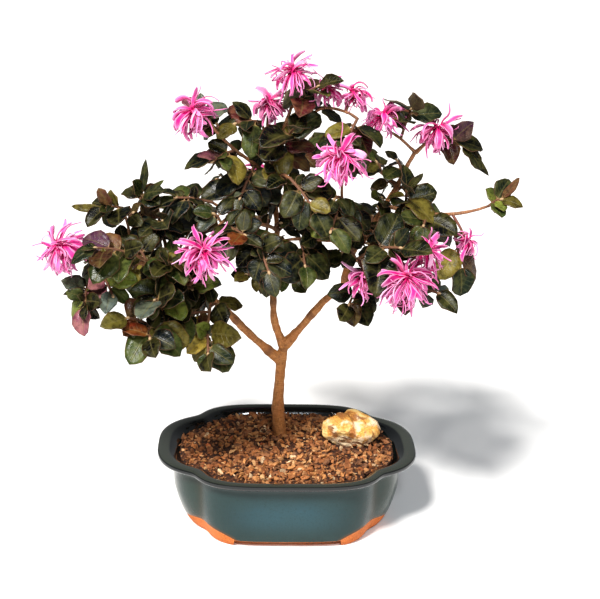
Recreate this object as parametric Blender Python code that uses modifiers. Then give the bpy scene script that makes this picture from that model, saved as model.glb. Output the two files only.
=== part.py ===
"""Chinese fringe flower bonsai in a four-lobed glazed pot. Metres, +Z up, origin under its middle."""

import math
import random
from itertools import product

import bmesh
import bpy
import numpy as np
from mathutils import Matrix, Vector, noise
from mathutils.bvhtree import BVHTree

# Driving dimensions. The positions further down are listed in millimetres and multiplied by MM.
MM = 0.001
MERGE = 0.01 * MM  # points this close are one
SEAT_GAP = 0.3  # mm between two pieces that touch

POT_CENTRE = (0.0, 7.5)  # mm, in the layout's own frame, which the trunk's foot is measured in
POT_POINTS = 48  # round each ring of the pot
FRONT_POWER, END_POWER = 4.0, 3.0  # squareness of the front lobes and of the end lobes
NOTCH_POWER = 50.0  # how sharply the lobes meet
RIM_HEIGHT = 57.0
# One ring per line: height, half width and half depth of the front lobes,
# half length and half depth of the end lobes.
POT_OUTSIDE = [
    (57.0, 71.5, 68.5, 94.0, 53.0),
    (57.0, 74.5, 72.0, 99.5, 57.5),
    (55.0, 76.0, 73.5, 101.5, 59.0),
    (52.6, 75.0, 72.5, 100.0, 58.0),
    (50.0, 70.5, 67.0, 90.0, 55.5),
    (30.0, 69.5, 66.5, 88.5, 55.0),
    (12.0, 67.5, 66.0, 83.5, 53.0),
    (4.0, 65.5, 65.2, 79.5, 51.0),
    (0.0, 63.0, 63.0, 76.0, 48.5),
]
POT_INSIDE = [
    (11.0, 55.0, 52.0, 70.0, 38.0),
    (16.0, 60.0, 58.0, 77.0, 43.0),
    (50.0, 64.5, 61.5, 84.0, 48.0),
    (55.0, 68.5, 65.5, 90.0, 50.0),
]
FOOT_HEIGHT = 5.5
FOOT_WINDOWS = [(84.0, 170.0), (220.0, 50.0), (112.0, 84.0)]  # mm along X and Y, cut between the feet
DRAIN_RADIUS, DRAIN_X = 7.0, 38.0
DRAIN_MESH_SIZE, DRAIN_MESH_OPENING, DRAIN_MESH_PITCH = (100.0, 22.0, 1.2), 5.5, 4.0

SOIL_EDGE_HEIGHT = 51.0
SOIL_MOUND = 3.0  # how far the middle stands over the edge
SOIL_BUMP = 1.6
SOIL_RING_SHARES = (0.94, 0.66, 0.32)  # rings of its top, as shares of the way to the edge
ROCK_CENTRE, ROCK_SIZE = (47.0, 19.0, 62.0), (52.0, 38.0, 31.0)

# The wood: name, radius at the start and at the tip, then the points of its middle line, all in mm.
TRUNK_GAP = 0.5  # mm, of the trunk's hole in the soil round the trunk
THICK_BRANCH = 2.5  # mm at the start; a thicker branch has more sides
WOOD_WAVE = 0.05  # swelling and narrowing along a branch, as a share of its radius
WOOD = [
    ("trunk", 5.6, 3.2, [(2, 22, 24), (0, 24, 40), (-4, 26, 52), (-6, 26, 66), (-7, 25, 84), (-6, 24, 104),
                         (-5, 23, 122), (-3, 22, 136)]),
    ("left_limb", 3.4, 1.5, [(-5, 23, 120), (-16, 20, 131), (-26, 15, 142), (-36, 10, 154), (-47, 5, 168),
                             (-59, 0, 181), (-73, -6, 196), (-90, -12, 207), (-110, -15, 213),
                             (-130, -18, 218), (-146, -20, 224)]),
    ("left_low", 1.5, 1.1, [(-73, -6, 196), (-84, -22, 190), (-95, -36, 183), (-102, -45, 176)]),
    ("left_drop", 1.3, 1.0, [(-59, 0, 181), (-60, -14, 175), (-61, -25, 166)]),
    ("left_rise", 1.5, 1.0, [(-110, -15, 213), (-116, -12, 225), (-119, -12, 241), (-122, -14, 254)]),
    ("left_front", 1.5, 1.0, [(-90, -12, 207), (-102, -35, 220), (-110, -52, 231)]),
    ("left_upper_front", 1.4, 1.0, [(-73, -6, 196), (-76, -22, 207), (-78, -32, 214)]),
    ("left_upper_back", 1.5, 1.0, [(-90, -12, 207), (-93, 5, 220), (-98, 20, 231), (-100, 30, 242)]),
    ("left_tip_low", 1.3, 1.0, [(-130, -18, 218), (-138, -25, 209), (-147, -30, 201)]),
    ("left_back", 1.7, 1.1, [(-59, 0, 181), (-73, 35, 179), (-94, 60, 178)]),
    ("left_middle_back", 1.4, 1.0, [(-110, -15, 213), (-118, 5, 207), (-126, 25, 200)]),
    ("leader", 3.0, 1.2, [(-3, 22, 132), (-10, 24, 150), (-12, 26, 166), (-12, 28, 186), (-11, 28, 206),
                          (-10, 26, 227), (-12, 24, 247), (-14, 20, 267), (-12, 14, 287), (-7, 8, 307),
                          (-2, 2, 325), (0, -2, 337)]),
    ("leader_left", 1.6, 1.0, [(-11, 27, 218), (-27, 18, 230), (-44, 6, 244), (-58, -4, 256)]),
    ("leader_left_front", 1.3, 1.0, [(-44, 6, 244), (-52, -24, 245), (-59, -48, 240)]),
    ("leader_high_left", 1.5, 1.0, [(-14, 20, 267), (-27, 14, 280), (-42, 6, 293), (-55, 0, 307),
                                    (-61, -4, 318)]),
    ("leader_stub", 1.2, 0.9, [(-12, 14, 287), (-19, 16, 300), (-23, 14, 312)]),
    ("leader_back_left", 1.6, 1.0, [(-12, 24, 247), (-22, 50, 247), (-35, 75, 248)]),
    ("leader_back", 1.5, 1.0, [(-14, 20, 267), (-4, 48, 272), (8, 70, 278)]),
    ("leader_front", 1.5, 1.0, [(-10, 26, 227), (-22, -5, 240), (-29, -32, 242)]),
    ("leader_front_high", 1.4, 1.0, [(-14, 20, 267), (-8, -15, 280), (-3, -40, 284)]),
    ("leader_cross", 1.2, 0.9, [(-11, 27, 217), (7, 12, 224), (31, 0, 226)]),
    ("leader_right", 1.2, 0.9, [(-7, 8, 307), (8, 5, 317), (22, 2, 325), (36, -10, 325), (44, -18, 322)]),
    ("right_limb", 3.1, 2.2, [(-3, 22, 134), (3, 22, 141), (11, 22, 151), (20, 21, 163), (29, 20, 174),
                              (39, 19, 182), (43, 18, 189)]),
    ("right_low", 1.6, 1.0, [(43, 18, 187), (53, 8, 190), (65, -8, 199), (75, -25, 211), (83, -35, 222)]),
    ("right_leader", 2.2, 1.2, [(43, 18, 187), (44, 20, 200), (49, 22, 213), (58, 24, 223), (64, 25, 234),
                                (71, 26, 247), (80, 27, 262), (87, 26, 279), (92, 25, 289)]),
    ("right_top_left", 1.2, 0.9, [(92, 25, 288), (80, 22, 299), (70, 18, 306)]),
    ("right_top", 1.2, 0.9, [(92, 25, 288), (100, 22, 297), (105, 18, 302)]),
    ("right_out", 1.6, 1.0, [(71, 26, 247), (86, 18, 245), (102, 10, 245), (119, 4, 247), (134, 0, 251),
                             (144, -2, 255)]),
    ("right_out_low", 1.2, 0.9, [(102, 10, 245), (112, 4, 239), (121, -2, 232)]),
    ("right_inner", 1.4, 1.0, [(58, 24, 223), (44, 0, 243), (35, -25, 265), (33, -42, 285)]),
    ("right_back", 1.6, 1.0, [(64, 25, 234), (76, 60, 224), (91, 85, 218)]),
    ("right_back_high", 1.5, 1.0, [(80, 27, 262), (69, 50, 267), (55, 70, 273)]),
    ("right_front", 1.4, 1.0, [(44, 20, 200), (49, -15, 218), (56, -40, 232)]),
]

# Leafy sprays: name, branch point the twig leaves, its end, number of leaves, length of a leaf, in mm.
SPRAYS = [
    ("spray_left_tip", (-130, -18, 218), (-148, 2, 202), 5, 25),
    ("spray_left_tip_low", (-147, -30, 201), (-148, -47, 190), 5, 24),
    ("spray_left_front", (-110, -52, 231), (-136, -65, 240), 6, 26),
    ("spray_left_rise", (-122, -14, 254), (-134, -24, 256), 4, 22),
    ("spray_left_top", (-119, -12, 241), (-108, -8, 262), 4, 22),
    ("spray_left_heart", (-98, 20, 231), (-93, -22, 247), 5, 30),
    ("spray_left_inner", (-90, -12, 207), (-72, 6, 236), 6, 26),
    ("spray_left_low", (-102, -45, 176), (-100, -66, 174), 6, 28),
    ("spray_left_low_front", (-84, -22, 190), (-97, -56, 199), 5, 28),
    ("spray_left_drop", (-61, -25, 166), (-60, -46, 154), 6, 26),
    ("spray_left_fork", (-60, -14, 175), (-84, -34, 178), 6, 27),
    ("spray_left_upper_front", (-78, -32, 214), (-88, -48, 224), 5, 26),
    ("spray_left_back", (-94, 60, 178), (-123, 91, 181), 5, 29),
    ("spray_left_middle_back", (-126, 25, 200), (-147, 47, 197), 5, 28),
    ("spray_middle_left", (-58, -4, 256), (-84, -14, 262), 6, 25),
    ("spray_middle_left_front", (-52, -24, 245), (-34, -45, 244), 5, 25),
    ("spray_upper_left", (-42, 6, 293), (-58, -12, 288), 5, 25),
    ("spray_leader_left", (-27, 14, 280), (-38, -14, 262), 6, 26),
    ("spray_high_left", (-55, 0, 307), (-68, 8, 322), 5, 24),
    ("spray_high_middle", (-23, 14, 312), (-42, 6, 312), 5, 25),
    ("spray_crown", (-2, 2, 325), (16, -12, 343), 6, 25),
    ("spray_crown_front", (-12, 14, 287), (0, -22, 316), 5, 30),
    ("spray_centre_front", (-3, -40, 284), (14, -52, 264), 6, 26),
    ("spray_centre_low", (-29, -32, 242), (-17, -58, 221), 6, 26),
    ("spray_back_left", (-35, 75, 248), (-58, 105, 245), 5, 29),
    ("spray_back", (8, 70, 278), (21, 104, 281), 5, 28),
    ("spray_upper_right", (44, -18, 322), (34, -36, 304), 6, 28),
    ("spray_high_right", (80, 22, 299), (85, 9, 324), 5, 26),
    ("spray_right_top", (105, 18, 302), (124, 13, 297), 5, 25),
    ("spray_right_tip", (144, -2, 255), (152, -8, 262), 5, 19),
    ("spray_right_shoulder", (86, 18, 245), (83, -3, 267), 5, 26),
    ("spray_right_heart", (102, 10, 245), (94, -24, 246), 6, 26),
    ("spray_right_hang", (121, -2, 232), (125, -11, 211), 4, 25),
    ("spray_right_front", (56, -40, 232), (74, -58, 240), 6, 32),
    ("spray_right_low_inner", (53, 8, 190), (43, -18, 183), 4, 22),
    ("spray_right_low", (65, -8, 199), (104, -50, 204), 5, 28),
    ("spray_right_back", (91, 85, 218), (117, 112, 218), 5, 29),
    ("spray_right_back_high", (55, 70, 273), (41, 104, 272), 5, 28),
    ("spray_right_inner", (35, -25, 265), (25, -58, 251), 5, 26),
    ("spray_cross", (7, 12, 224), (10, -16, 212), 5, 27),
]
# Blooms: name, branch point the stalk leaves, middle of the tuft, petals, length of a petal, in mm.
BLOOMS = [
    ("bloom_crown", (0, -2, 337), (-1, -8, 352), 8, 20),
    ("bloom_upper_left", (-61, -4, 318), (-71, -9, 322), 12, 21),
    ("bloom_high_middle", (-19, 16, 300), (-18, 2, 327), 8, 17),
    ("bloom_crown_right", (22, 2, 325), (22, -4, 340), 6, 16),
    ("bloom_upper_right", (36, -10, 325), (42, -4, 336), 7, 16),
    ("bloom_right_high", (70, 18, 306), (65, 12, 317), 8, 19),
    ("bloom_right_top", (100, 22, 297), (105, 14, 308), 8, 21),
    ("bloom_centre", (33, -42, 285), (30, -57, 303), 14, 23),
    ("bloom_left_tip", (-146, -20, 224), (-165, -33, 229), 13, 22),
    ("bloom_middle_left", (-59, -48, 240), (-63, -67, 238), 14, 24),
    ("bloom_right_big", (75, -25, 211), (79, -57, 216), 18, 25),
    ("bloom_right_upright", (83, -35, 222), (95, -44, 232), 6, 20),
    ("bloom_right_inner", (49, -15, 218), (52, -40, 212), 5, 19),
    ("bloom_right_out", (119, 4, 247), (129, -8, 229), 5, 15),
    ("bloom_back", (-22, 50, 247), (-16, 84, 256), 8, 22),
]

# How the small repeats grow.
SEED = 11
UP, FRONT = Vector((0, 0, 1)), Vector((0, -1, 0))
CROWN_CENTRE = (-10, 15, 240)  # mm, what the leaves turn away from
TWIG_RADIUS, TWIG_TIP_RADIUS, TWIG_BOW = 1.1, 0.85, 2.5  # mm
RIM_POINTS, START_STEP = 12, 0.1  # points tested round a twig's end, and mm between the places tried for it
LEAF_THICK, PETAL_THICK, PETAL_WIDTH = 0.7, 0.7, 3.2  # mm
LEAF_WIDTH = 0.64  # of its length
CLEAR = 0.3  # mm kept round a blade
ROOT_SHARE = 0.25  # how much of a blade near its root may touch its own twig and neighbours
CORE_RADIUS = 3.2  # mm, of a bloom
LEAF_FIRST, LEAF_LAST = 0.20, 0.86  # shares of the twig between which the side leaves stand
END_LEAF = 0.94  # share of the twig where the last leaf begins
GOLDEN_ANGLE = 137.5
TRIES = 14


def remove_everything():
    for obj in list(bpy.data.objects):
        bpy.data.objects.remove(obj, do_unlink=True)


def new_collection(name, hidden=False):
    collection = bpy.data.collections.new(name)
    bpy.context.scene.collection.children.link(collection)
    collection.hide_render = hidden
    return collection


def make_material(name, colour, roughness, metallic=0.0):
    material = bpy.data.materials.new(name)
    material.use_nodes = True
    shader = material.node_tree.nodes["Principled BSDF"]
    shader.inputs["Base Color"].default_value = (*colour, 1.0)
    shader.inputs["Roughness"].default_value = roughness
    shader.inputs["Metallic"].default_value = metallic
    return material


def add_object(name, mesh, collection, material=None):
    obj = bpy.data.objects.new(name, mesh)
    collection.objects.link(obj)
    if material:
        mesh.materials.clear()
        mesh.materials.append(material)
    return obj


def hide_as_cutter(obj):
    obj.display_type = "WIRE"
    obj.hide_render = True
    return obj


def add_cutter(name, bm, collection):
    """A helper that only cuts."""
    mesh = bpy.data.meshes.new(name)
    bm.to_mesh(mesh)
    bm.free()
    return hide_as_cutter(add_object(name, mesh, collection))


def cut(obj, cutters):
    for cutter in cutters:
        modifier = obj.modifiers.new(f"cut {cutter.name}", "BOOLEAN")
        modifier.operation = "DIFFERENCE"
        modifier.object = cutter


def evaluated_mesh(obj):
    graph = bpy.context.evaluated_depsgraph_get()
    return bpy.data.meshes.new_from_object(obj.evaluated_get(graph))


def fuse(base, collection):
    """Joins every object of the collection to the base in one body, and removes them."""
    modifier = base.modifiers.new("fuse", "BOOLEAN")
    modifier.operation = "UNION"
    modifier.operand_type = "COLLECTION"
    modifier.collection = collection
    modifier.solver = "MANIFOLD"
    mesh = evaluated_mesh(base)
    base.modifiers.clear()
    bm = bmesh.new()
    bm.from_mesh(mesh)
    bmesh.ops.triangulate(bm, faces=bm.faces, ngon_method="BEAUTY")
    bm.to_mesh(mesh)
    bm.free()
    base.data = mesh
    for obj in list(collection.objects):
        bpy.data.objects.remove(obj, do_unlink=True)
    bpy.data.collections.remove(collection)


# Pot, drain mesh, soil and rock


def lobed_ring(size, inset=0.0, scale=1.0):
    """One level outline: the larger, in each direction, of a squarish front lobe and a rounder end lobe."""
    height, front_width, front_depth, end_length, end_depth = size
    angles = np.arange(POT_POINTS) * (2 * math.pi / POT_POINTS)
    across, along = np.abs(np.cos(angles)), np.abs(np.sin(angles))
    radii = []
    for width, depth, power in (
        (front_width - inset, front_depth - inset, FRONT_POWER),
        (end_length - inset, end_depth - inset, END_POWER),
    ):
        radii.append(((across / width) ** power + (along / depth) ** power) ** (-1 / power))
    radius = (radii[0] ** NOTCH_POWER + radii[1] ** NOTCH_POWER) ** (1 / NOTCH_POWER) * scale
    ring = np.stack([radius * np.cos(angles), radius * np.sin(angles), np.full(POT_POINTS, height)], axis=1)
    return (ring + (*POT_CENTRE, 0)) * MM


def loft(name, rings, centre_top=None):
    """Skins the rings, each to the next, and closes both ends. centre_top closes the last with a fan."""
    bm = bmesh.new()
    rows = [[bm.verts.new(point) for point in ring] for ring in rings]
    for low, high in zip(rows, rows[1:]):
        for i in range(len(low)):
            j = (i + 1) % len(low)
            bm.faces.new((low[i], low[j], high[j], high[i]))
    bm.faces.new(rows[0][::-1])
    if centre_top is None:
        bm.faces.new(rows[-1])
    else:
        middle = bm.verts.new(centre_top)
        for i in range(len(rows[-1])):
            bm.faces.new((rows[-1][i], rows[-1][(i + 1) % len(rows[-1])], middle))
    bmesh.ops.recalc_face_normals(bm, faces=bm.faces)
    mesh = bpy.data.meshes.new(name)
    bm.to_mesh(mesh)
    bm.free()
    return mesh


def box(size, centre, top=1.0):
    """A box in mm, its upper face scaled by top."""
    bm = bmesh.new()
    bmesh.ops.create_cube(bm, size=1.0)
    for vert in bm.verts:
        shrink = top if vert.co.z > 0 else 1.0
        vert.co = Vector((vert.co.x * size[0] * shrink, vert.co.y * size[1] * shrink, vert.co.z * size[2]))
        vert.co = (vert.co + Vector(centre)) * MM
    return bm


def round_bar(radius, low, high, x, y, sides=16):
    bm = bmesh.new()
    middle = Matrix.Translation(Vector((x, y, (low + high) / 2)) * MM)
    bmesh.ops.create_cone(bm, cap_ends=True, segments=sides, radius1=radius * MM, radius2=radius * MM,
                          depth=(high - low) * MM, matrix=middle)
    return bm


def build_pot(parts, cutters, material):
    rings = [lobed_ring(size) for size in POT_INSIDE + POT_OUTSIDE]
    pot = add_object("pot", loft("pot", rings), parts, material)
    helpers = []
    for i, (width, depth) in enumerate(FOOT_WINDOWS):
        window = box((width, depth, 2 * FOOT_HEIGHT), (*POT_CENTRE, 0), top=0.96)
        helpers.append(add_cutter(f"foot_window_{i + 1}", window, cutters))
    for side in (-1, 1):
        hole = round_bar(DRAIN_RADIUS, -1, RIM_HEIGHT, side * DRAIN_X, POT_CENTRE[1])
        helpers.append(add_cutter(f"drain_hole_{side}", hole, cutters))
    cut(pot, helpers)
    return pot


def build_drain_mesh(parts, cutters, material):
    """One strip of plastic mesh on the pot's floor, over both drainage holes, and its seat in the soil."""
    length, depth, thick = DRAIN_MESH_SIZE
    centre = (0, POT_CENTRE[1], POT_INSIDE[0][0] + SEAT_GAP + thick / 2)
    mesh = bpy.data.meshes.new("drain_mesh")
    bm = box(DRAIN_MESH_SIZE, centre)
    bm.to_mesh(mesh)
    bm.free()
    strip = add_object("drain_mesh", mesh, parts, material)
    holes = []
    for x in (-DRAIN_X, DRAIN_X):
        for dx, dy in product((-DRAIN_MESH_PITCH, DRAIN_MESH_PITCH), repeat=2):
            middle = (x + dx, centre[1] + dy, centre[2])
            opening = box((DRAIN_MESH_OPENING, DRAIN_MESH_OPENING, 4 * thick), middle)
            holes.append(add_cutter(f"drain_mesh_opening_{len(holes)}", opening, cutters))
    cut(strip, holes)
    seat = box((length + 2 * SEAT_GAP, depth + 2 * SEAT_GAP, thick + 2 * SEAT_GAP), centre)
    return add_cutter("drain_mesh_seat", seat, cutters)


def inside_size(height):
    """The pot's inner outline at any height."""
    heights = [size[0] for size in POT_INSIDE]
    columns = [[size[i] for size in POT_INSIDE] for i in range(1, 5)]
    return (height, *[float(np.interp(height, heights, column)) for column in columns])


def soil_height(x, y, share):
    """Height in mm at a point whose distance from the middle is this share of the way to the edge."""
    bumps = noise.noise(Vector((x * 0.11, y * 0.11, 3.7)))
    bumps += 0.6 * noise.noise(Vector((x * 0.27, y * 0.27, 9.1)))
    return SOIL_EDGE_HEIGHT + SOIL_MOUND * (1 - share**2) + SOIL_BUMP * bumps


def build_soil(parts, material):
    floor = POT_INSIDE[0]
    inset = 2 * SEAT_GAP
    rings = [lobed_ring((floor[0] + SEAT_GAP, *floor[1:]), inset)]
    rings.append(lobed_ring(POT_INSIDE[1], inset))
    edge = inside_size(SOIL_EDGE_HEIGHT - SOIL_BUMP)
    rings.append(lobed_ring(edge, inset))
    for share in SOIL_RING_SHARES:
        ring = lobed_ring(edge, inset, scale=share)
        for point in ring:
            point[2] = soil_height(point[0] / MM, point[1] / MM, share) * MM
        rings.append(ring)
    top = Vector((*POT_CENTRE, soil_height(*POT_CENTRE, 0))) * MM
    return add_object("soil", loft("soil", rings, centre_top=top), parts, material)


def rock_mesh(name, grow=0.0):
    """A rough stone: a ball stretched to its size, with broad bulges. grow widens it for its seat."""
    bm = bmesh.new()
    bmesh.ops.create_icosphere(bm, subdivisions=3, radius=1.0)
    for vert in bm.verts:
        unit = vert.co.normalized()
        bulge = 1 + 0.20 * noise.noise(unit * 1.5 + Vector((4.1, 0.3, 2.2))) + 0.09 * noise.noise(unit * 3.6)
        flat = 1 - 0.12 * max(0.0, unit.z - 0.55)
        for axis in range(3):
            radius = ROCK_SIZE[axis] / 2 + grow
            vert.co[axis] = (unit[axis] * bulge * flat * radius + ROCK_CENTRE[axis]) * MM
    mesh = bpy.data.meshes.new(name)
    bm.to_mesh(mesh)
    bm.free()
    return mesh


# Wood


def tube(name, path, radii, resolution, collection, material=None):
    """A round-sectioned mesh along a path in mm, closed at both ends. Flat sides face up and sideways."""
    curve = bpy.data.curves.new(name, "CURVE")
    curve.dimensions = "3D"
    curve.bevel_depth = MM
    curve.bevel_resolution = resolution
    curve.use_fill_caps = True
    curve.twist_mode = "Z_UP"
    spline = curve.splines.new("POLY")
    spline.points.add(len(path) - 1)
    for point, place, radius in zip(spline.points, path, radii):
        point.co = (*(place * MM), 1.0)
        point.radius = radius
        point.tilt = math.radians(180 / (4 + 2 * resolution))
    guide = bpy.data.objects.new(name, curve)
    collection.objects.link(guide)
    mesh = evaluated_mesh(guide)
    bpy.data.objects.remove(guide, do_unlink=True)
    bm = bmesh.new()
    bm.from_mesh(mesh)
    bmesh.ops.remove_doubles(bm, verts=bm.verts, dist=MERGE)
    bmesh.ops.recalc_face_normals(bm, faces=bm.faces)
    bm.to_mesh(mesh)
    bm.free()
    return add_object(name, mesh, collection, material)


def branch_radii(start, tip, count):
    """Thins evenly, with a slow swelling and narrowing as grown wood has."""
    wave = [WOOD_WAVE * start * math.sin(2.3 * i) for i in range(count)]
    return [start + (tip - start) * i / (count - 1) + wave[i] for i in range(count)]


def build_wood(parts, material):
    branches = bpy.data.collections.new("branches")
    bpy.context.scene.collection.children.link(branches)
    wood = None
    for name, start, tip, points in WOOD:
        path = [Vector(point) for point in points]
        radii = branch_radii(start, tip, len(path))
        if wood is None:
            wood = tube("wood", path, radii, 2, parts, material)
        else:
            tube(name, path, radii, 2 if start > THICK_BRANCH else 0, branches)
    fuse(wood, branches)
    return wood


def trunk_hole(cutters):
    """A plain hole for the trunk, a little wider than its foot, open at the top."""
    _, start, tip, points = WOOD[0]
    path = [Vector(point) for point in points]
    radii = [radius + TRUNK_GAP for radius in branch_radii(start, tip, len(path))]
    path[0] = path[0] + (path[0] - path[1]).normalized() * TRUNK_GAP
    return hide_as_cutter(tube("trunk_hole", path, radii, 2, cutters))


def outside(tree, point, gap):
    """Whether a point lies outside a closed body and more than this gap from it."""
    nearest, normal, _, distance = tree.find_nearest(point)
    return distance > gap and (point - nearest).dot(normal) > 0


def twig_start(base, end, wood_tree):
    """Where a twig begins: the first point out from its branch's middle where its round end is clear."""
    toward = (end - base).normalized()
    spoke = toward.orthogonal().normalized() * TWIG_RADIUS
    rim = [Matrix.Rotation(2 * math.pi * k / RIM_POINTS, 3, toward) @ spoke for k in range(RIM_POINTS)]
    start = base.copy()
    while not all(outside(wood_tree, start + point, SEAT_GAP) for point in rim):
        start += toward * START_STEP
    return start


def twig_path(base, end, wood_tree):
    """A shallow arch from the branch to the end, as three points."""
    start = twig_start(base, end, wood_tree)
    middle = (start + end) / 2 + UP * TWIG_BOW
    return [start * (1 - t) ** 2 + middle * 2 * t * (1 - t) + end * t**2 for t in (0, 0.5, 1)]


# Blades


def leaf_sheet(length, width, root=0.0):
    """A folded, tip-down leaf: points in mm (across, along, up) and faces. root is its start along it."""
    points = [
        (0, root * length, 0),
        (-0.46 * width, 0.30 * length, 0.10 * width),
        (-0.42 * width, 0.68 * length, 0.06 * width),
        (0, length, -0.12 * length),
        (0.42 * width, 0.68 * length, 0.06 * width),
        (0.46 * width, 0.30 * length, 0.10 * width),
        (0, 0.50 * length, 0),
    ]
    return np.array(points), [(0, 5, 1), (1, 5, 6), (1, 6, 2), (2, 6, 3), (3, 6, 4), (4, 6, 5)]


def petal_sheet(length, width, curl, root=0.0):
    """A strap petal that narrows to its root and bends down by curl, as a share of its length."""
    points = [(0, root * length, -curl * length * root**2)]
    for share, half in ((0.5, 0.5), (1.0, 0.4)):
        for side in (-1, 1):
            points.append((side * half * width, share * length, -curl * length * share**2))
    return np.array(points), [(0, 2, 1), (1, 2, 4), (1, 4, 3)]


def place(points, root, direction, facing):
    """Turns sheet points so that they run along direction from root with their upper side towards facing."""
    along = direction.normalized()
    across = along.cross(facing).normalized()
    up = across.cross(along)
    frame = np.array([across, along, up])
    return points @ frame + np.array(root)


def shell(points, faces, thick):
    """The closed skin of a sheet of this thickness, for testing what it would touch."""
    normals = np.zeros_like(points)
    for a, b, c in faces:
        normals[[a, b, c]] += np.cross(points[b] - points[a], points[c] - points[a])
    normals *= thick / 2 / np.linalg.norm(normals, axis=1, keepdims=True)
    count = len(points)
    edges = [edge for a, b, c in faces for edge in ((a, b), (b, c), (c, a))]
    rim = [(a, b) for a, b in edges if (b, a) not in edges]
    skin = [(a, b, c) for a, b, c in faces] + [(c + count, b + count, a + count) for a, b, c in faces]
    skin += [(b, a, a + count) for a, b in rim] + [(b, a + count, b + count) for a, b in rim]
    both = np.concatenate([points + normals, points - normals])
    return BVHTree.FromPolygons(both.tolist(), skin), points.mean(axis=0)


class Clearance:
    """Everything placed so far, to keep a new blade out of it."""

    def __init__(self):
        self.placed = []

    def add(self, node, whole, outer, middle, reach):
        self.placed.append((node, whole, outer, Vector(middle), reach))

    def free(self, node, whole, outer, middle, reach):
        middle = Vector(middle)
        for other, other_whole, other_outer, other_middle, other_reach in self.placed:
            if (middle - other_middle).length > reach + other_reach:
                continue
            if other == node:
                if outer.overlap(other_outer):
                    return False
            elif whole.overlap(other_whole):
                return False
        return True


def mesh_tree(obj):
    """The tree of an object's faces, in mm, and the middle and reach of its points."""
    points = np.array([vert.co for vert in obj.data.vertices]) / MM
    tree = BVHTree.FromPolygons(points.tolist(), [tuple(face.vertices) for face in obj.data.polygons])
    middle = points.mean(axis=0)
    return tree, middle, float(np.linalg.norm(points - middle, axis=1).max())


def random_turn(draw, most):
    """A turn of up to this many degrees about a random axis."""
    axis = Vector((draw.gauss(0, 1), draw.gauss(0, 1), draw.gauss(0, 1)))
    return Matrix.Rotation(math.radians(draw.uniform(-most, most)), 3, axis)


def try_blade(node, clearance, sheet, thick, root, direction, facing, draw):
    """The first of a few turned and shortened tries that touches nothing: points in mm and faces, or None."""
    for attempt in range(TRIES):
        turn = random_turn(draw, 4 + 3.5 * attempt)
        size = 1 - 0.03 * attempt
        faces = sheet(size, 0.0)[1]
        points = place(sheet(size, 0.0)[0], root, turn @ direction, turn @ facing)
        outer_points = place(sheet(size, ROOT_SHARE)[0], root, turn @ direction, turn @ facing)
        whole, middle = shell(points, faces, thick + 2 * CLEAR)
        outer, _ = shell(outer_points, faces, thick + 2 * CLEAR)
        reach = float(np.linalg.norm(points - middle, axis=1).max()) + 1
        if clearance.free(node, whole, outer, middle, reach):
            clearance.add(node, whole, outer, middle, reach)
            return points, faces
    return None


def add_blade(name, points, faces, thick, collection):
    mesh = bpy.data.meshes.new(name)
    mesh.from_pydata((points * MM).tolist(), [], faces)
    blade = add_object(name, mesh, collection)
    solidify = blade.modifiers.new("thickness", "SOLIDIFY")
    solidify.thickness = thick * MM
    solidify.offset = 0.0
    blade.modifiers.new("triangles", "TRIANGULATE")
    return blade


# Sprays and blooms


def grow_leaves(name, path, count, length, clearance):
    """Leaves alternate along the twig and one ends it. They turn to the light in front and above."""
    outward = (path[-1] - Vector(CROWN_CENTRE)).normalized()
    blades = []
    for k in range(count):
        draw = random.Random(f"{SEED} {name} {k}")
        last = k == count - 1
        along = END_LEAF if last else LEAF_FIRST + (LEAF_LAST - LEAF_FIRST) * k / (count - 1)
        step = min(int(along * (len(path) - 1)), len(path) - 2)
        root = path[step].lerp(path[step + 1], along * (len(path) - 1) - step)
        forward = (path[step + 1] - path[step]).normalized()
        facing = UP * 0.75 + FRONT * 0.5 + outward * 0.35
        facing += Vector((draw.gauss(0, 0.22), draw.gauss(0, 0.22), draw.gauss(0, 0.12)))
        side = forward.cross(facing).normalized() * (1 if k % 2 else -1)
        spread = 0.0 if last else math.radians(68 - 22 * along + draw.uniform(-10, 10))
        direction = forward * math.cos(spread) + side * math.sin(spread) - UP * draw.uniform(0.1, 0.5)
        size = length * draw.uniform(0.78, 1.15) * (0.85 if last else 1.0)

        def sheet(shrink, root_share, size=size):
            return leaf_sheet(size * shrink, size * shrink * LEAF_WIDTH, root_share)

        found = try_blade(name, clearance, sheet, LEAF_THICK, root, direction, facing, draw)
        if found:
            blades.append(found)
    return blades


def grow_petals(name, base, centre, count, length, clearance):
    """Petals stand out of the core round its free side, at even steps of the golden angle, and arch over."""
    axis = ((centre - base).normalized() + UP * 0.3 + FRONT * 0.3).normalized()
    first = axis.orthogonal().normalized()
    second = axis.cross(first)
    blades = []
    for k in range(count):
        draw = random.Random(f"{SEED} {name} {k}")
        polar = math.radians(12 + 98 * math.sqrt((k + 0.5) / count))
        turn = k * math.radians(GOLDEN_ANGLE)
        sideways = first * math.cos(turn) + second * math.sin(turn)
        direction = axis * math.cos(polar) + sideways * math.sin(polar)
        facing = (axis * 0.8 + UP * 0.5 + sideways * draw.uniform(-0.5, 0.5)).normalized()
        size = length * draw.uniform(0.75, 1.1)
        curl = draw.uniform(0.05, 0.38)

        def sheet(shrink, root_share, size=size, curl=curl):
            return petal_sheet(size * shrink, PETAL_WIDTH, curl, root_share)

        found = try_blade(name, clearance, sheet, PETAL_THICK, centre, direction, facing, draw)
        if found:
            blades.append(found)
    return blades


def core_into(collection, centre):
    bm = bmesh.new()
    middle = Matrix.Translation(centre * MM)
    bmesh.ops.create_icosphere(bm, subdivisions=1, radius=CORE_RADIUS * MM, matrix=middle)
    mesh = bpy.data.meshes.new("core")
    bm.to_mesh(mesh)
    bm.free()
    add_object("core", mesh, collection)


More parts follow.
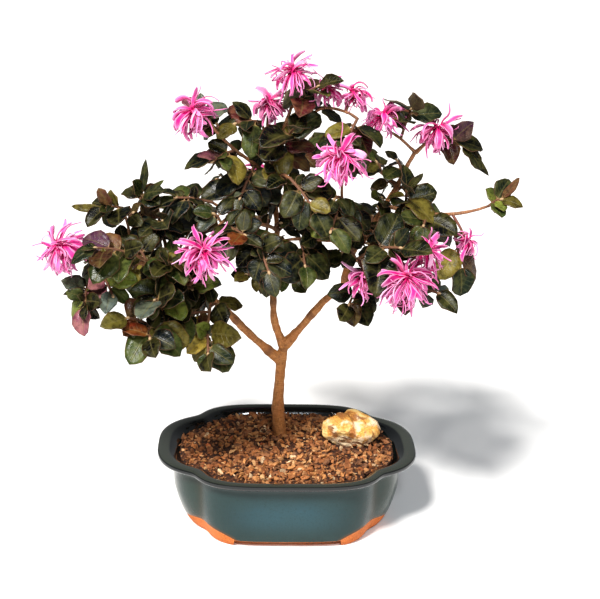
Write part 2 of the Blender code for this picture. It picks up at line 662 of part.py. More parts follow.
def build_foliage(parts, wood, leaf_material, petal_material):
    """All twigs and stalks, then the petals, then the leaves, so that each keeps clear of what was there."""
    clearance = Clearance()
    wood_tree, middle, reach = mesh_tree(wood)
    clearance.add("wood", wood_tree, wood_tree, middle, reach)
    twigs = {}
    for name, base, end, *_ in SPRAYS + BLOOMS:
        path = twig_path(Vector(base), Vector(end), wood_tree)
        radii = np.linspace(TWIG_RADIUS, TWIG_TIP_RADIUS, len(path))
        material = petal_material if name.startswith("bloom") else leaf_material
        twig = tube(name, path, radii, 0, parts, material)
        twigs[name] = (twig, path)
        tree, middle, reach = mesh_tree(twig)
        clearance.add(name, tree, tree, middle, reach)
    grown = {}
    for name, base, centre, count, length in BLOOMS:
        grown[name] = grow_petals(name, Vector(base), Vector(centre), count, length, clearance)
    for name, _, _, count, length in SPRAYS:
        grown[name] = grow_leaves(name, twigs[name][1], count, length, clearance)
    for name, blades in grown.items():
        blade_set = bpy.data.collections.new(f"{name}_blades")
        bpy.context.scene.collection.children.link(blade_set)
        thick = PETAL_THICK if name.startswith("bloom") else LEAF_THICK
        for points, faces in blades:
            add_blade(f"{name}_blade", points, faces, thick, blade_set)
        if name.startswith("bloom"):
            core_into(blade_set, twigs[name][1][-1])
        fuse(twigs[name][0], blade_set)


def stand_on_origin(parts):
    """Brings the middle of the whole footprint over the origin, by moving the empty that all hang on."""
    anchor = bpy.data.objects.new("bonsai", None)
    parts.objects.link(anchor)
    bpy.context.view_layer.update()
    pieces = [obj for obj in parts.objects if obj.type == "MESH"]
    corners = np.array([corner for obj in pieces for corner in obj.bound_box])
    anchor.location = (*(-(corners.min(axis=0) + corners.max(axis=0))[:2] / 2), 0)
    for obj in pieces:
        obj.parent = anchor
    return anchor


def main():
    remove_everything()
    parts = new_collection("fringe_flower_bonsai")
    cutters = new_collection("cutters", hidden=True)
    glaze = make_material("glaze", (0.06, 0.12, 0.14), 0.15)
    mesh_plastic = make_material("mesh_plastic", (0.02, 0.02, 0.02), 0.5)
    bark_mix = make_material("soil", (0.33, 0.16, 0.07), 0.9)
    stone = make_material("stone", (0.75, 0.50, 0.22), 0.8)
    bark = make_material("bark", (0.38, 0.18, 0.08), 0.75)
    leaf = make_material("leaf", (0.05, 0.10, 0.03), 0.4)
    petal = make_material("petal", (0.80, 0.05, 0.40), 0.5)
    build_pot(parts, cutters, glaze)
    mesh_seat = build_drain_mesh(parts, cutters, mesh_plastic)
    soil = build_soil(parts, bark_mix)
    rock = add_object("rock", rock_mesh("rock"), parts, stone)
    rock_seat = hide_as_cutter(add_object("rock_seat", rock_mesh("rock_seat", grow=0.5), cutters))
    cut(soil, [mesh_seat, rock_seat, trunk_hole(cutters)])
    wood = build_wood(parts, bark)
    build_foliage(parts, wood, leaf, petal)
    anchor = stand_on_origin(parts)
    for cutter in cutters.objects:
        cutter.parent = anchor
    for obj in (rock, wood):
        obj.data.shade_smooth()


main()
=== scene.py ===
# Chinese fringe flower bonsai in a four-lobed glazed pot: the fine surfaces, finishes and light around its solids.
import math
import random

import bmesh
import bpy
import numpy as np
from mathutils import Matrix, Vector
from mathutils.bvhtree import BVHTree


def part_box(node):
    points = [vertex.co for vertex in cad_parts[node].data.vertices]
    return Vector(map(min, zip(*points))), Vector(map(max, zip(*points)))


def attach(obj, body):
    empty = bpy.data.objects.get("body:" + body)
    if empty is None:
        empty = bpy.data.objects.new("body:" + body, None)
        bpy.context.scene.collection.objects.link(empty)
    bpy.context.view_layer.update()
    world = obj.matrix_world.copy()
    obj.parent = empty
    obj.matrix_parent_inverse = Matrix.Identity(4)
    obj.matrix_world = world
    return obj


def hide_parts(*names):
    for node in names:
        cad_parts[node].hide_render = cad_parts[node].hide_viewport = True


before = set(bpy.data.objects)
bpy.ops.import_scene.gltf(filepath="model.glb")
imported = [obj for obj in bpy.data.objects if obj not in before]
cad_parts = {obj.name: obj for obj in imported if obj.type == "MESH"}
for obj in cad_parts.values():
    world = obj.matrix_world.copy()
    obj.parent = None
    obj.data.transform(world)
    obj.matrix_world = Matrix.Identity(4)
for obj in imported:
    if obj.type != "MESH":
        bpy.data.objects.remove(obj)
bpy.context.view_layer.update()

# Places below are in mm, in a layout whose Z starts under the feet and whose X and Y start near the trunk.
mm = 0.001
potCentre = np.array([0.0, 7.5, 0.0])
potLow, potHigh = (np.array(corner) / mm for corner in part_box("pot"))
layoutShift = (potLow + potHigh) / 2 * (1, 1, 0) - potCentre
up, front = Vector((0, 0, 1)), Vector((0, -1, 0))
goldenAngle = math.radians(137.5)


def paint(red, green, blue):
    # a colour as a paint chart gives it, 0 to 255, turned into the linear values that a shader wants
    share = np.array([red, green, blue]) / 255
    return tuple(np.where(share <= 0.04045, share / 12.92, ((share + 0.055) / 1.055) ** 2.4).tolist())


def adjust(thing, settings):
    # the thing with its named settings
    for key, value in settings.items():
        setattr(thing, key, value)
    return thing


def addObject(name, data):
    # an object of the data, in the scene
    obj = bpy.data.objects.new(name, data)
    bpy.context.scene.collection.objects.link(obj)
    return obj


# Surfaces

def valueNoise(points, seed=0):
    # smooth noise from -1 to 1: a value at each corner of a unit lattice, blended between the eight corners;
    # the large whole numbers only scatter those values
    base = np.floor(points).astype(np.int64)
    share = points - base
    share = share * share * (3 - 2 * share)
    total = 0.0
    for corner in range(8):
        offset = np.array([corner & 1, corner >> 1 & 1, corner >> 2])
        cell = base + offset
        mixed = cell[..., 0] * 73856093 ^ cell[..., 1] * 19349663 ^ cell[..., 2] * 83492791 ^ (seed * 2654435 + 97)
        mixed = (mixed ^ (mixed >> 13)) * 1274126177
        mixed = (mixed ^ (mixed >> 16)) & 0xFFFF
        total = total + np.prod(np.where(offset, share, 1 - share), axis=-1) * (mixed / 32767.5 - 1)
    return total


def unit(vectors):
    # each vector divided by its own length
    return vectors / np.maximum(np.linalg.norm(vectors, axis=-1, keepdims=True), 1e-9)


def asPoints(*numbers):
    # three arrays of numbers, spread over one another, as one array of points
    return np.stack(np.broadcast_arrays(*numbers), axis=-1)


def fullTurn(count):
    # so many angles at even steps once round
    return np.arange(count) * (2 * math.pi / count)


def pathReach(path):
    # how far along a path each of its points lies
    return np.concatenate([[0], np.cumsum(np.linalg.norm(np.diff(path, axis=0), axis=1))])


def gridQuads(rows, columns, wrap=False):
    # corner numbers of the squares of a grid, four to a square; wrap joins the last column to the first
    row, column = np.meshgrid(np.arange(rows - 1), np.arange(columns if wrap else columns - 1), indexing="ij")
    after = (column + 1) % columns
    corners = [row * columns + column, row * columns + after, (row + 1) * columns + after, (row + 1) * columns + column]
    return np.stack(corners, axis=-1).reshape(-1, 4)


def makePart(points, faces, slot=0, uv=None, tint=(1, 1, 1), marks=None):
    # points with groups of faces; slot is the material's number, tint a colour, marks three numbers for each point
    count = len(points)
    uv = np.zeros((count, 2)) if uv is None else uv
    marks = np.zeros((count, 3)) if marks is None else marks
    tint = np.broadcast_to(np.asarray(tint, float), (count, 3))
    slots = [np.broadcast_to(slot, len(group)) for group in faces]
    return dict(points=points, faces=faces, slots=slots, uv=uv, tint=tint, marks=marks)


def ringedBody(rings, slot=0, tint=(1, 1, 1), marks=None):
    # a closed body: each ring of points is skinned to the next, and the first and last are filled
    rows, columns = rings.shape[:2]
    number = np.arange(columns)
    uv = np.stack(np.meshgrid(number / columns, np.linspace(0, 1, rows)), axis=-1).reshape(-1, 2)
    faces = [gridQuads(rows, columns, wrap=True)[:, ::-1], number[None], (rows - 1) * columns + number[None, ::-1]]
    return makePart(rings.reshape(-1, 3), faces, slot, uv, tint, marks)


def curveThrough(points, spacing):
    # a Catmull-Rom curve through the points in steps of about the spacing, and where each step lies among them
    points = np.array(points, float)
    ends = np.concatenate([[2 * points[0] - points[1]], points, [2 * points[-1] - points[-2]]])
    pieces, places = [], []
    for i in range(len(points) - 1):
        a, b, c, d = ends[i:i + 4]
        steps = max(2, round(float(np.linalg.norm(c - b)) / spacing))
        t = (np.arange(steps) / steps)[:, None]
        pieces.append((2 * b + (c - a) * t + (2 * a - 5 * b + 4 * c - d) * t**2 + (3 * b - a - 3 * c + d) * t**3) / 2)
        places.append(i + t[:, 0])
    return np.concatenate([*pieces, points[-1:]]), np.concatenate([*places, [len(points) - 1]])


def pathFrame(path):
    # along, side and rise at each point of a path, the side kept square to the axis the path least follows
    along = unit(np.gradient(path, axis=0))
    side = unit(np.cross(along, np.eye(3)[np.argmin(np.abs(path[-1] - path[0]))]))
    return along, side, np.cross(side, along)


def tubeRings(path, radii, sides):
    # a round section carried along a path: middle + radius (side cos a + rise sin a), for a once round
    _, side, rise = pathFrame(path)
    angle = fullTurn(sides)[:, None]
    around = side[:, None] * np.cos(angle) + rise[:, None] * np.sin(angle)
    return path[:, None] + around * np.reshape(radii, (-1, 1, 1))


def sheetBodies(sheets, thick, alongShares, tints, marks):
    # closed thin bodies: each sheet of a grid is copied half the thickness up and down its normal, across x along;
    # the top has material 0, the underside and the rim have material 1
    count, rows, columns = sheets.shape[:3]
    normal = unit(np.cross(np.gradient(sheets, axis=2), np.gradient(sheets, axis=1)))
    both = np.stack([sheets + normal * thick / 2, sheets - normal * thick / 2], axis=1)
    size = rows * columns
    top = gridQuads(rows, columns)
    number = np.arange(size).reshape(rows, columns)
    edge = np.concatenate([number[0, :-1], number[:-1, -1], number[-1, :0:-1], number[:0:-1, 0]])
    after = np.roll(edge, -1)
    rim = np.stack([after, edge, edge + size, after + size], axis=-1)
    one = np.concatenate([top, top[:, ::-1] + size, rim])
    faces = (one[None] + (np.arange(count) * 2 * size)[:, None, None]).reshape(-1, 4)
    slots = np.tile(np.repeat([0, 1], [len(top), len(top) + len(rim)]), count)
    uv = np.stack(np.meshgrid(np.linspace(0, 1, columns), alongShares), axis=-1).reshape(-1, 2)
    return makePart(both.reshape(-1, 3), [faces], slots, np.tile(uv, (2 * count, 1)),
                    np.repeat(tints, 2 * size, axis=0), np.repeat(marks, 2 * size, axis=0))


def makeMesh(name, parts, materials, sharp=None):
    # one mesh of all the parts, with the UV map "along" and the attributes "tint" and "marks"
    start, groups, slots = 0, [], []
    for part in parts:
        groups += [group + start for group in part["faces"]]
        slots += part["slots"]
        start += len(part["points"])
    points, uv, tint, marks = (np.concatenate([part[key] for part in parts])
                               for key in ("points", "uv", "tint", "marks"))
    corners = np.concatenate([group.reshape(-1) for group in groups])
    sizes = np.concatenate([np.full(len(group), group.shape[1]) for group in groups])
    mesh = bpy.data.meshes.new(name)
    mesh.vertices.add(len(points))
    mesh.vertices.foreach_set("co", ((points + layoutShift) * mm).astype(np.float32).ravel())
    mesh.loops.add(len(corners))
    mesh.loops.foreach_set("vertex_index", corners.astype(np.int32))
    mesh.polygons.add(len(sizes))
    mesh.polygons.foreach_set("loop_start", (np.cumsum(sizes) - sizes).astype(np.int32))
    mesh.polygons.foreach_set("material_index", np.concatenate(slots).astype(np.int32))
    mesh.update(calc_edges=True)
    mesh.uv_layers.new(name="along").data.foreach_set("uv", uv[corners].astype(np.float32).ravel())
    colours = np.column_stack([tint, np.ones(len(tint))]).astype(np.float32)
    mesh.attributes.new("tint", "FLOAT_COLOR", "POINT").data.foreach_set("color", colours.ravel())
    mesh.attributes.new("marks", "FLOAT_VECTOR", "POINT").data.foreach_set("vector", marks.astype(np.float32).ravel())
    mesh.shade_smooth()
    if sharp:
        mesh.set_sharp_from_angle(angle=math.radians(sharp))
    for material in materials:
        mesh.materials.append(material)
    return mesh


def makePiece(name, mesh, replaced):
    # an object of the mesh, which moves with the whole plant and may stand for a CAD node
    obj = addObject(name, mesh)
    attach(obj, "root")
    if replaced:
        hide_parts(replaced)


def finishedMesh(mesh, kind, *modifiers):
    # the mesh after modifiers of one kind, each given by its settings, on an object of it that is then removed
    obj = addObject("unfinished", mesh)
    for settings in modifiers:
        adjust(obj.modifiers.new(kind, kind), settings)
    finished = bpy.data.meshes.new_from_object(obj.evaluated_get(bpy.context.evaluated_depsgraph_get()))
    bpy.data.objects.remove(obj)
    return finished


def fetch(data, key, width, kind=np.float32):
    # one value of each item of Blender's data, which is so many numbers wide
    values = np.empty(len(data) * width, kind)
    data.foreach_get(key, values)
    return values.reshape(-1, width)


def meshArrays(mesh, perFace):
    # points in layout mm, and faces of one size, of a mesh in the row's frame
    points = fetch(mesh.vertices, "co", 3).astype(float) / mm - layoutShift
    return points, fetch(mesh.loops, "vertex_index", 1, np.int32).reshape(-1, perFace)


# Materials

def addNode(tree, kind, sockets=None, **settings):
    # a node with its settings; each named input is linked from a socket or set to a value
    made = adjust(tree.nodes.new("ShaderNode" + kind), settings)
    for key, value in (sockets or {}).items():
        if isinstance(value, bpy.types.NodeSocket):
            tree.links.new(value, made.inputs[key])
        else:
            made.inputs[key].default_value = value
    return made


def mixColours(tree, share, first, second, blend="MIX"):
    # first (1 - share) + second share, or another blend of the two, each a colour or a socket
    sides = {place: value if isinstance(value, bpy.types.NodeSocket) else (*value, 1)
             for place, value in ((6, first), (7, second))}
    return addNode(tree, "Mix", {0: share, **sides}, data_type="RGBA", blend_type=blend, clamp_factor=True).outputs[2]


def work(tree, operation, first, second=0.0, third=0.0):
    # the result of one sum on numbers or sockets
    return addNode(tree, "Math", {0: first, 1: second, 2: third}, operation=operation).outputs[0]


def layers(tree, look, first, *coats):
    # colours laid over one another, each a name in the look or a socket, as far as mask times strength says
    colour = paint(*look[first]) if isinstance(first, str) else first
    for over, mask, *strength in coats:
        share = work(tree, "MULTIPLY", mask, *strength) if strength else mask
        colour = mixColours(tree, share, colour, paint(*look[over]) if isinstance(over, str) else over)
    return colour


def rescale(tree, value, low, high, newLow=0.0, newHigh=1.0):
    # a value between low and high brought smoothly to between newLow and newHigh, and held there outside them
    return addNode(tree, "MapRange", {"Value": value, "From Min": low, "From Max": high, "To Min": newLow,
                                      "To Max": newHigh}, interpolation_type="SMOOTHSTEP").outputs["Result"]


def newGroup(name, inputs, outputs):
    # an empty node group with its named inputs, each a kind and a value, and its outputs, which are numbers
    tree = bpy.data.node_groups.new(name, "ShaderNodeTree")
    for socket, (kind, value) in inputs.items():
        made = tree.interface.new_socket(socket, in_out="INPUT", socket_type="NodeSocket" + kind)
        if value is not None:
            made.default_value = value
    for socket in outputs:
        tree.interface.new_socket(socket, in_out="OUTPUT", socket_type="NodeSocketFloat")
    return tree, tree.nodes.new("NodeGroupInput").outputs, tree.nodes.new("NodeGroupOutput")


def useGroup(tree, group, **values):
    # the outputs of a group that is placed in a material with the material's own values
    return addNode(tree, "Group", values, node_tree=group).outputs


def makeSpeckle():
    # soft spots of noise as a mask, with how much of the surface they cover, and the noise itself as a height;
    # the noise lies between a quarter and three quarters nearly everywhere
    tree, given, out = newGroup("speckle", {"Where": ("Vector", None), "Size": ("Float", 0.004),
                                            "Cover": ("Float", 0.5), "Softness": ("Float", 0.1)}, ["Mask", "Height"])
    place = addNode(tree, "VectorMath", {0: given["Where"], "Scale": work(tree, "DIVIDE", 1.0, given["Size"])},
                    operation="SCALE")
    noise = addNode(tree, "TexNoise", {"Vector": place.outputs[0], "Scale": 1.0, "Detail": 4.0, "Roughness": 0.55})
    middle = rescale(tree, given["Cover"], 0.0, 1.0, 0.75, 0.25)
    low, high = (work(tree, side, middle, given["Softness"]) for side in ("SUBTRACT", "ADD"))
    tree.links.new(rescale(tree, noise.outputs[0], low, high), out.inputs["Mask"])
    tree.links.new(noise.outputs[0], out.inputs["Height"])
    return tree


def alongLeaf(tree):
    # across and along a leaf or a petal, each from 0 to 1, and the distance from its midrib, 0 to 1 at the edge
    where = addNode(tree, "SeparateXYZ", {0: addNode(tree, "UVMap", uv_map="along").outputs[0]}).outputs
    return where[0], where[1], work(tree, "ABSOLUTE", work(tree, "MULTIPLY_ADD", where[0], 2.0, -1.0))


def makeVeins():
    # on a leaf's UV map: a pale midrib, side veins that sweep forward from it, and the thin rim
    tree, given, out = newGroup("leafVeins", {"Veins": ("Float", 7.0)}, ["Midrib", "Vein", "Rim"])
    _, along, aside = alongLeaf(tree)
    sweep = work(tree, "MULTIPLY_ADD", aside, -0.22, along)
    wave = work(tree, "PINGPONG", work(tree, "MULTIPLY", sweep, given["Veins"]), 0.5)
    tree.links.new(rescale(tree, aside, 0.04, 0.11, 1.0, 0.0), out.inputs["Midrib"])
    tree.links.new(rescale(tree, wave, 0.03, 0.12, 1.0, 0.0), out.inputs["Vein"])
    tree.links.new(rescale(tree, aside, 0.90, 0.99), out.inputs["Rim"])
    return tree


def makeGrain():
    # bark: fine lengthwise ridges and broken rings, on the marks that hold x, y across the branch and z along it;
    # each noise is stretched that way, and its height counts for its weight
    tree, given, out = newGroup("barkGrain", {"Size": ("Float", 1.0)}, ["Ridge", "Ring", "Height"])
    marks = addNode(tree, "Attribute", attribute_name="marks").outputs["Vector"]
    heights = []
    for name, stretch, detail, weight in (("Ridge", (1.6, 1.6, 0.28), 5.0, 1.0), ("Ring", (0.25, 0.25, 1.1), 3.0, 0.5)):
        place = addNode(tree, "VectorMath", {0: marks, 1: stretch}, operation="MULTIPLY").outputs[0]
        noise = addNode(tree, "TexNoise", {"Vector": place, "Scale": given["Size"], "Detail": detail}).outputs[0]
        tree.links.new(rescale(tree, noise, 0.40, 0.64), out.inputs[name])
        heights.append(work(tree, "MULTIPLY", noise, weight))
    tree.links.new(work(tree, "ADD", *heights), out.inputs["Height"])
    return tree


def newMaterial(name, fixed=None):
    # a material and its tree, with fixed values on its Principled shader
    material = bpy.data.materials.new(name)
    material.use_nodes = True
    for socket, value in (fixed or {}).items():
        material.node_tree.nodes["Principled BSDF"].inputs[socket].default_value = value
    return material, material.node_tree


def objectPlace(tree):
    # the object's own coordinates, in metres
    return addNode(tree, "TexCoord").outputs["Object"]


def spots(tree, size, **values):
    # the speckle at a size in metres, on the object's own coordinates
    return useGroup(tree, speckle, Where=objectPlace(tree), Size=size, **values)


def finishLook(material, colour, roughness=None, height=None, depth=0.0002, strength=0.5, coat=None):
    # the material with the colour, roughness, coat and relief that it ends with; depth is in metres
    tree = material.node_tree
    ends = {"Base Color": colour, "Roughness": roughness, "Coat Weight": coat}
    if height is not None:
        ends["Normal"] = addNode(tree, "Bump", {"Height": height, "Distance": depth, "Strength": strength}).outputs[0]
    for socket, value in ends.items():
        if value is not None:
            tree.links.new(value, tree.nodes["Principled BSDF"].inputs[socket])
    return material


def tintOf(tree):
    # the colour that the mesh carries
    return addNode(tree, "Attribute", attribute_name="tint").outputs["Color"]


def marksOf(tree):
    # the three numbers that the mesh carries
    marks = addNode(tree, "Attribute", attribute_name="marks").outputs["Vector"]
    return addNode(tree, "SeparateXYZ", {0: marks}).outputs


speckle, leafVeins, barkGrain = makeSpeckle(), makeVeins(), makeGrain()

# Camera, light and floor

stageLook = dict(
    turn=-2.0, rise=20.0, roll=1.2, distance=940.0, aim=(0.0, 0.0, 180.0), lens=75.0, sensor=36.0,
    shift=10 / 600, nearest=0.01, contrast="Medium High Contrast",
    sky=0.21, skyColour=(0.96, 0.98, 1.0, 1),
    sun=4.3, sunSize=12.0, sunFrom=(-0.55, -0.75, 1.25), sunColour=(1.0, 0.975, 0.94),
    window=6.5, windowSize=0.26, windowPlace=(0.20, -1.0, 0.95), windowAim=(0, 0, 0.06),
    windowColour=(0.92, 0.96, 1.0), floorReach=60.0, floorTones=((0.90, 0.90, 0.90), (0.92, 0.92, 0.92)),
)


def placeCamera():
    # back = (sin t cos r, -cos t cos r, sin r) for turn t and rise r; the camera sits that way from its aim
    turn, rise, roll = (math.radians(stageLook[key]) for key in ("turn", "rise", "roll"))
    back = Vector((math.sin(turn) * math.cos(rise), -math.cos(turn) * math.cos(rise), math.sin(rise)))
    side = (-back).cross(up).normalized()
    over = side.cross(-back)
    right = side * math.cos(roll) + over * math.sin(roll)
    top = over * math.cos(roll) - side * math.sin(roll)
    place = (Vector(stageLook["aim"]) + Vector(layoutShift) + back * stageLook["distance"]) * mm
    camera = addObject("camera", bpy.data.cameras.new("camera"))
    camera.data.lens, camera.data.sensor_width = stageLook["lens"], stageLook["sensor"]
    camera.data.shift_x, camera.data.clip_start = stageLook["shift"], stageLook["nearest"]
    camera.matrix_world = Matrix.Translation(place) @ Matrix((right, top, back)).transposed().to_4x4()
    bpy.context.scene.camera = camera


def addLamp(name, kind, toward, place=(0, 0, 0), **settings):
    # a lamp of a kind, turned so that its light comes from that side
    obj = addObject(name, adjust(bpy.data.lights.new(name, kind), settings))
    obj.location = place
    obj.rotation_euler = Vector(toward).to_track_quat("Z", "Y").to_euler()


def buildStage():
    # a broad sun from the front left, a small window for the glints, an even pale sky and a white floor
    placeCamera()
    addLamp("sun", "SUN", stageLook["sunFrom"], energy=stageLook["sun"], color=stageLook["sunColour"],
            angle=math.radians(stageLook["sunSize"]))
    window = stageLook["windowPlace"]
    addLamp("window", "AREA", Vector(window) - Vector(stageLook["windowAim"]), window, shape="DISK",
            size=stageLook["windowSize"], energy=stageLook["window"], color=stageLook["windowColour"])
    scene = bpy.context.scene
    scene.world = bpy.data.worlds.new("studio")
    scene.world.use_nodes = True
    sky = scene.world.node_tree.nodes["Background"].inputs
    sky["Color"].default_value, sky["Strength"].default_value = stageLook["skyColour"], stageLook["sky"]
    scene.view_settings.view_transform, scene.view_settings.look = "Standard", stageLook["contrast"]
    material, tree = newMaterial("floorPaint", {"Roughness": 0.9, "Specular IOR Level": 0.1})
    finishLook(material, mixColours(tree, spots(tree, 0.6)["Mask"], *stageLook["floorTones"]))
    mesh = bpy.data.meshes.new("floor")
    reach = stageLook["floorReach"]
    corners = [(-reach, -reach, 0), (reach, -reach, 0), (reach, reach, 0), (-reach, reach, 0)]
    mesh.from_pydata(corners, [], [(0, 1, 2, 3)])
    mesh.materials.append(material)
    addObject("floor", mesh)
    print("stage: camera, sun, window and the floor")


buildStage()

# Pot, drain mesh, soil and rock

potLook = dict(
    points=240, frontPower=4.0, endPower=3.0, notchPower=50.0, footHeight=5.5, sharp=38.0,
    footWindows=[(84.0, 170.0), (220.0, 50.0), (112.0, 84.0)], windowTop=0.96,
    drainRadius=7.0, drainX=38.0, drainSides=32, drainSpan=(30, -2),
    # the clay is bare up to bareEdge, and up to bareCorner higher round each foot (angles in degrees)
    bareEdge=1.2, bareCorner=12.0, footAngle=37.0, footSpread=24.0, footPower=0.6,
    # heights over that line where the glaze turns brown and where it ends; the marks hold 1 + height / scale
    glazeThin=(3.75, 0.6), glazeEnd=(0.7, 0.3), markScale=50.0, insideMark=2.0,
    creaseWidth=0.035, creaseShare=0.75, creaseTop=50.0, endBlend=9.0,
    # heights where the rim's dark glaze begins, a band that also paints the shade under the lip and on the inner wall
    # above the soil; where the rim's paler top begins, a painted reflection of the sky; and where its full shine begins
    rimAndShadeFrom=(48.5, 52.5), paintedSkyOnRimTopFrom=(56.1, 56.9), shineFrom=(46.0, 51.0), lowShine=0.3,
    # the middle of the front and back panels is painted lighter as light falling on them: its height, and the distances
    # across and up over which it fades out
    paintedPanelLightHeight=28.0, paintedPanelLightAcross=(8.0, 60.0), paintedPanelLightUp=(2.0, 21.0),
    teal=(36, 54, 53), green=(41, 53, 45), paintedPanelLight=(46, 75, 83), cloud=(47, 68, 68), freckle=(34, 50, 46),
    # rim is near-black glaze that also stands for shade under the lip and on the inner wall; the paler grey-green after
    # it paints the sky's reflection on the rim's top
    crease=(50, 50, 38), rim=(8, 12, 14), paintedSkyOnRimTop=(54, 58, 52), thinned=(84, 62, 42),
    clay=(206, 120, 60), claySpeck=(162, 88, 44), clayFlush=(214, 136, 92),
)
# Rings of the pot: height, half width and depth of the front lobes, half length and depth of the end lobes.
potInside = [
    (11, 55, 52, 70, 38), (12.5, 58, 55.5, 74, 41), (16, 60, 58, 77, 43), (30, 62, 59.6, 80, 45.2),
    (50, 64.5, 61.5, 84, 48), (53.5, 66.5, 63.5, 87.5, 49.2), (55.3, 68.3, 65.3, 90, 50.3),
    (56.6, 70.3, 67.3, 92.3, 51.9),
]
potOutside = [
    (57, 71.8, 68.9, 94.3, 53.3), (57.1, 73.2, 70.6, 97.2, 55.4), (56.9, 74.9, 72.4, 99.8, 57.6),
    (56.1, 75.8, 73.3, 101.1, 58.7), (55, 76, 73.5, 101.5, 59), (53.8, 75.9, 73.3, 101.2, 58.8),
    (52.9, 75.2, 72.7, 100.3, 58.2), (52.3, 73.9, 71.2, 97.8, 57.3), (51.3, 71.9, 68.6, 93, 56.2),
    (50, 70.6, 67.1, 90.2, 55.6), (47, 70.2, 66.8, 89.4, 55.4), (40, 69.9, 66.65, 89, 55.2),
    (30, 69.5, 66.5, 88.5, 55), (20, 68.6, 66.3, 86.2, 54.1), (12, 67.5, 66, 83.5, 53),
    (7, 66.3, 65.5, 81.2, 51.9), (5.75, 66, 65.4, 80.5, 51.5), (4, 65.5, 65.2, 79.5, 51),
    (1.5, 64.2, 64.2, 77.6, 49.8), (0.4, 63.4, 63.4, 76.4, 48.9), (0, 62.6, 62.6, 75.6, 48.2),
]


def lobeRadii(sizes, angles):
    # radius = (|cos a / width|^p + |sin a / depth|^p)^(-1/p) of the front and of the end lobes, for each ring
    sizes = np.asarray(sizes, float)[:, 1:, None]
    across, along = np.abs(np.cos(angles)), np.abs(np.sin(angles))
    return [((across / sizes[:, i]) ** power + (along / sizes[:, i + 1]) ** power) ** (-1 / power)
            for i, power in ((0, potLook["frontPower"]), (2, potLook["endPower"]))]


def lobedRings(sizes, angles, inset=0.0, scale=1.0):
    # the larger of the two lobes in each direction, rounded where they meet by a high power
    sizes = np.asarray(sizes, float) - np.array([0, 1, 1, 1, 1]) * inset
    notch = potLook["notchPower"]
    frontRadii, endRadii = lobeRadii(sizes, angles)
    radius = (frontRadii**notch + endRadii**notch) ** (1 / notch) * scale
    return asPoints(radius * np.cos(angles), radius * np.sin(angles), sizes[:, :1]) + potCentre


def makeGlaze():
    # blue-teal, painted lighter in the middle of the front and back panels as light falls on them, greener at the ends,
    # brown where it thins, bare clay under its line; the rim dark, with painted shade under the lip and a painted sky
    # reflection on its top
    material, tree = newMaterial("glaze", {"Coat Roughness": 0.03, "Specular IOR Level": 0.22})
    marks = marksOf(tree)
    cloud = spots(tree, 0.022, Softness=0.22)
    fine = spots(tree, 0.0016, Cover=0.35)
    grit = spots(tree, 0.0007)

    def between(value, places, first=0.0, last=1.0):
        # first up to the one place and last from the other on, both in mm
        return rescale(tree, value, places[0] * mm, places[1] * mm, first, last)

    def overLine(heights):
        # heights over the bare line as the marks hold them
        return [1 + height / potLook["markScale"] for height in heights]

    where = objectPlace(tree)
    height = addNode(tree, "SeparateXYZ", {0: where}).outputs[2]
    # painted light: a lighter teal fading out from the middle of the front and back panels, so that their top under the
    # rim and their ends stay darker as in shade
    paintedPanelLightAt = tuple(-(layoutShift + potCentre + (0, 0, potLook["paintedPanelLightHeight"])) * mm)
    apart = addNode(tree, "Mapping", {"Vector": where, "Location": paintedPanelLightAt}).outputs[0]
    apart = addNode(tree, "SeparateXYZ", {0: apart}).outputs
    paintedPanelLight = work(tree, "MULTIPLY", between(work(tree, "ABSOLUTE", apart[0]), potLook["paintedPanelLightAcross"], 1.0, 0.0),
                between(work(tree, "ABSOLUTE", apart[2]), potLook["paintedPanelLightUp"], 1.0, 0.0))
    edge = work(tree, "MULTIPLY_ADD", cloud["Height"], 0.02, marks[0])
    thinned, bare = (rescale(tree, edge, *overLine(potLook[key])) for key in ("glazeThin", "glazeEnd"))
    clay = layers(tree, potLook, "clay", ("claySpeck", grit["Mask"]), ("clayFlush", cloud["Mask"], 0.5))
    # the rim band paints near-black glaze together with the shade under the lip and on the inner wall above the soil;
    # the rim top's paler colour paints the sky's reflection
    colour = layers(tree, potLook, "teal", ("green", marks[2]), ("paintedPanelLight", paintedPanelLight), ("cloud", cloud["Mask"], 0.35),
                    ("freckle", fine["Mask"], 0.30), ("crease", marks[1]), ("rim", between(height, potLook["rimAndShadeFrom"])),
                    ("paintedSkyOnRimTop", between(height, potLook["paintedSkyOnRimTopFrom"])), ("thinned", thinned), (clay, bare))
    roughness = work(tree, "MULTIPLY_ADD", bare, 0.6, work(tree, "MULTIPLY_ADD", fine["Mask"], 0.10, 0.16))
    shine = between(height, potLook["shineFrom"], potLook["lowShine"])
    coat = work(tree, "MULTIPLY", shine, rescale(tree, bare, 0.0, 1.0, 1.0, 0.0))
    bumps = work(tree, "MULTIPLY_ADD", cloud["Height"], 3.0, fine["Height"])
    bumps = work(tree, "MULTIPLY_ADD", grit["Height"], work(tree, "MULTIPLY", bare, 1.5), bumps)
    return finishLook(material, colour, roughness, bumps, 0.0002, 0.45, coat)


def potMarks(rings, sizes, angles):
    # marks: 1 + height over the bare line / scale, how near a crease, and how much of an end lobe; the bare line
    # rises by cos^p (90 d / spread) round each foot, for d degrees away from it
    frontRadii, endRadii = lobeRadii(sizes, angles)
    apart = endRadii / frontRadii - 1
    away = np.degrees(np.arctan2(np.abs(np.sin(angles)), np.abs(np.cos(angles)))) - potLook["footAngle"]
    rise = np.clip(np.cos(np.radians(away * 90 / potLook["footSpread"])), 0, 1) ** potLook["footPower"]
    overBare = rings[..., 2] - (potLook["bareEdge"] + potLook["bareCorner"] * rise)
    outer = np.arange(len(sizes))[:, None] >= len(potInside)
    glazed = np.where(outer, 1 + overBare / potLook["markScale"], potLook["insideMark"])
    crease = np.where(outer & (rings[..., 2] < potLook["creaseTop"]), np.exp(-(apart / potLook["creaseWidth"]) ** 2), 0)
    endShare = np.clip(apart * potLook["endBlend"] + 0.5, 0, 1)
    return asPoints(glazed, crease * potLook["creaseShare"], endShare).reshape(-1, 3)


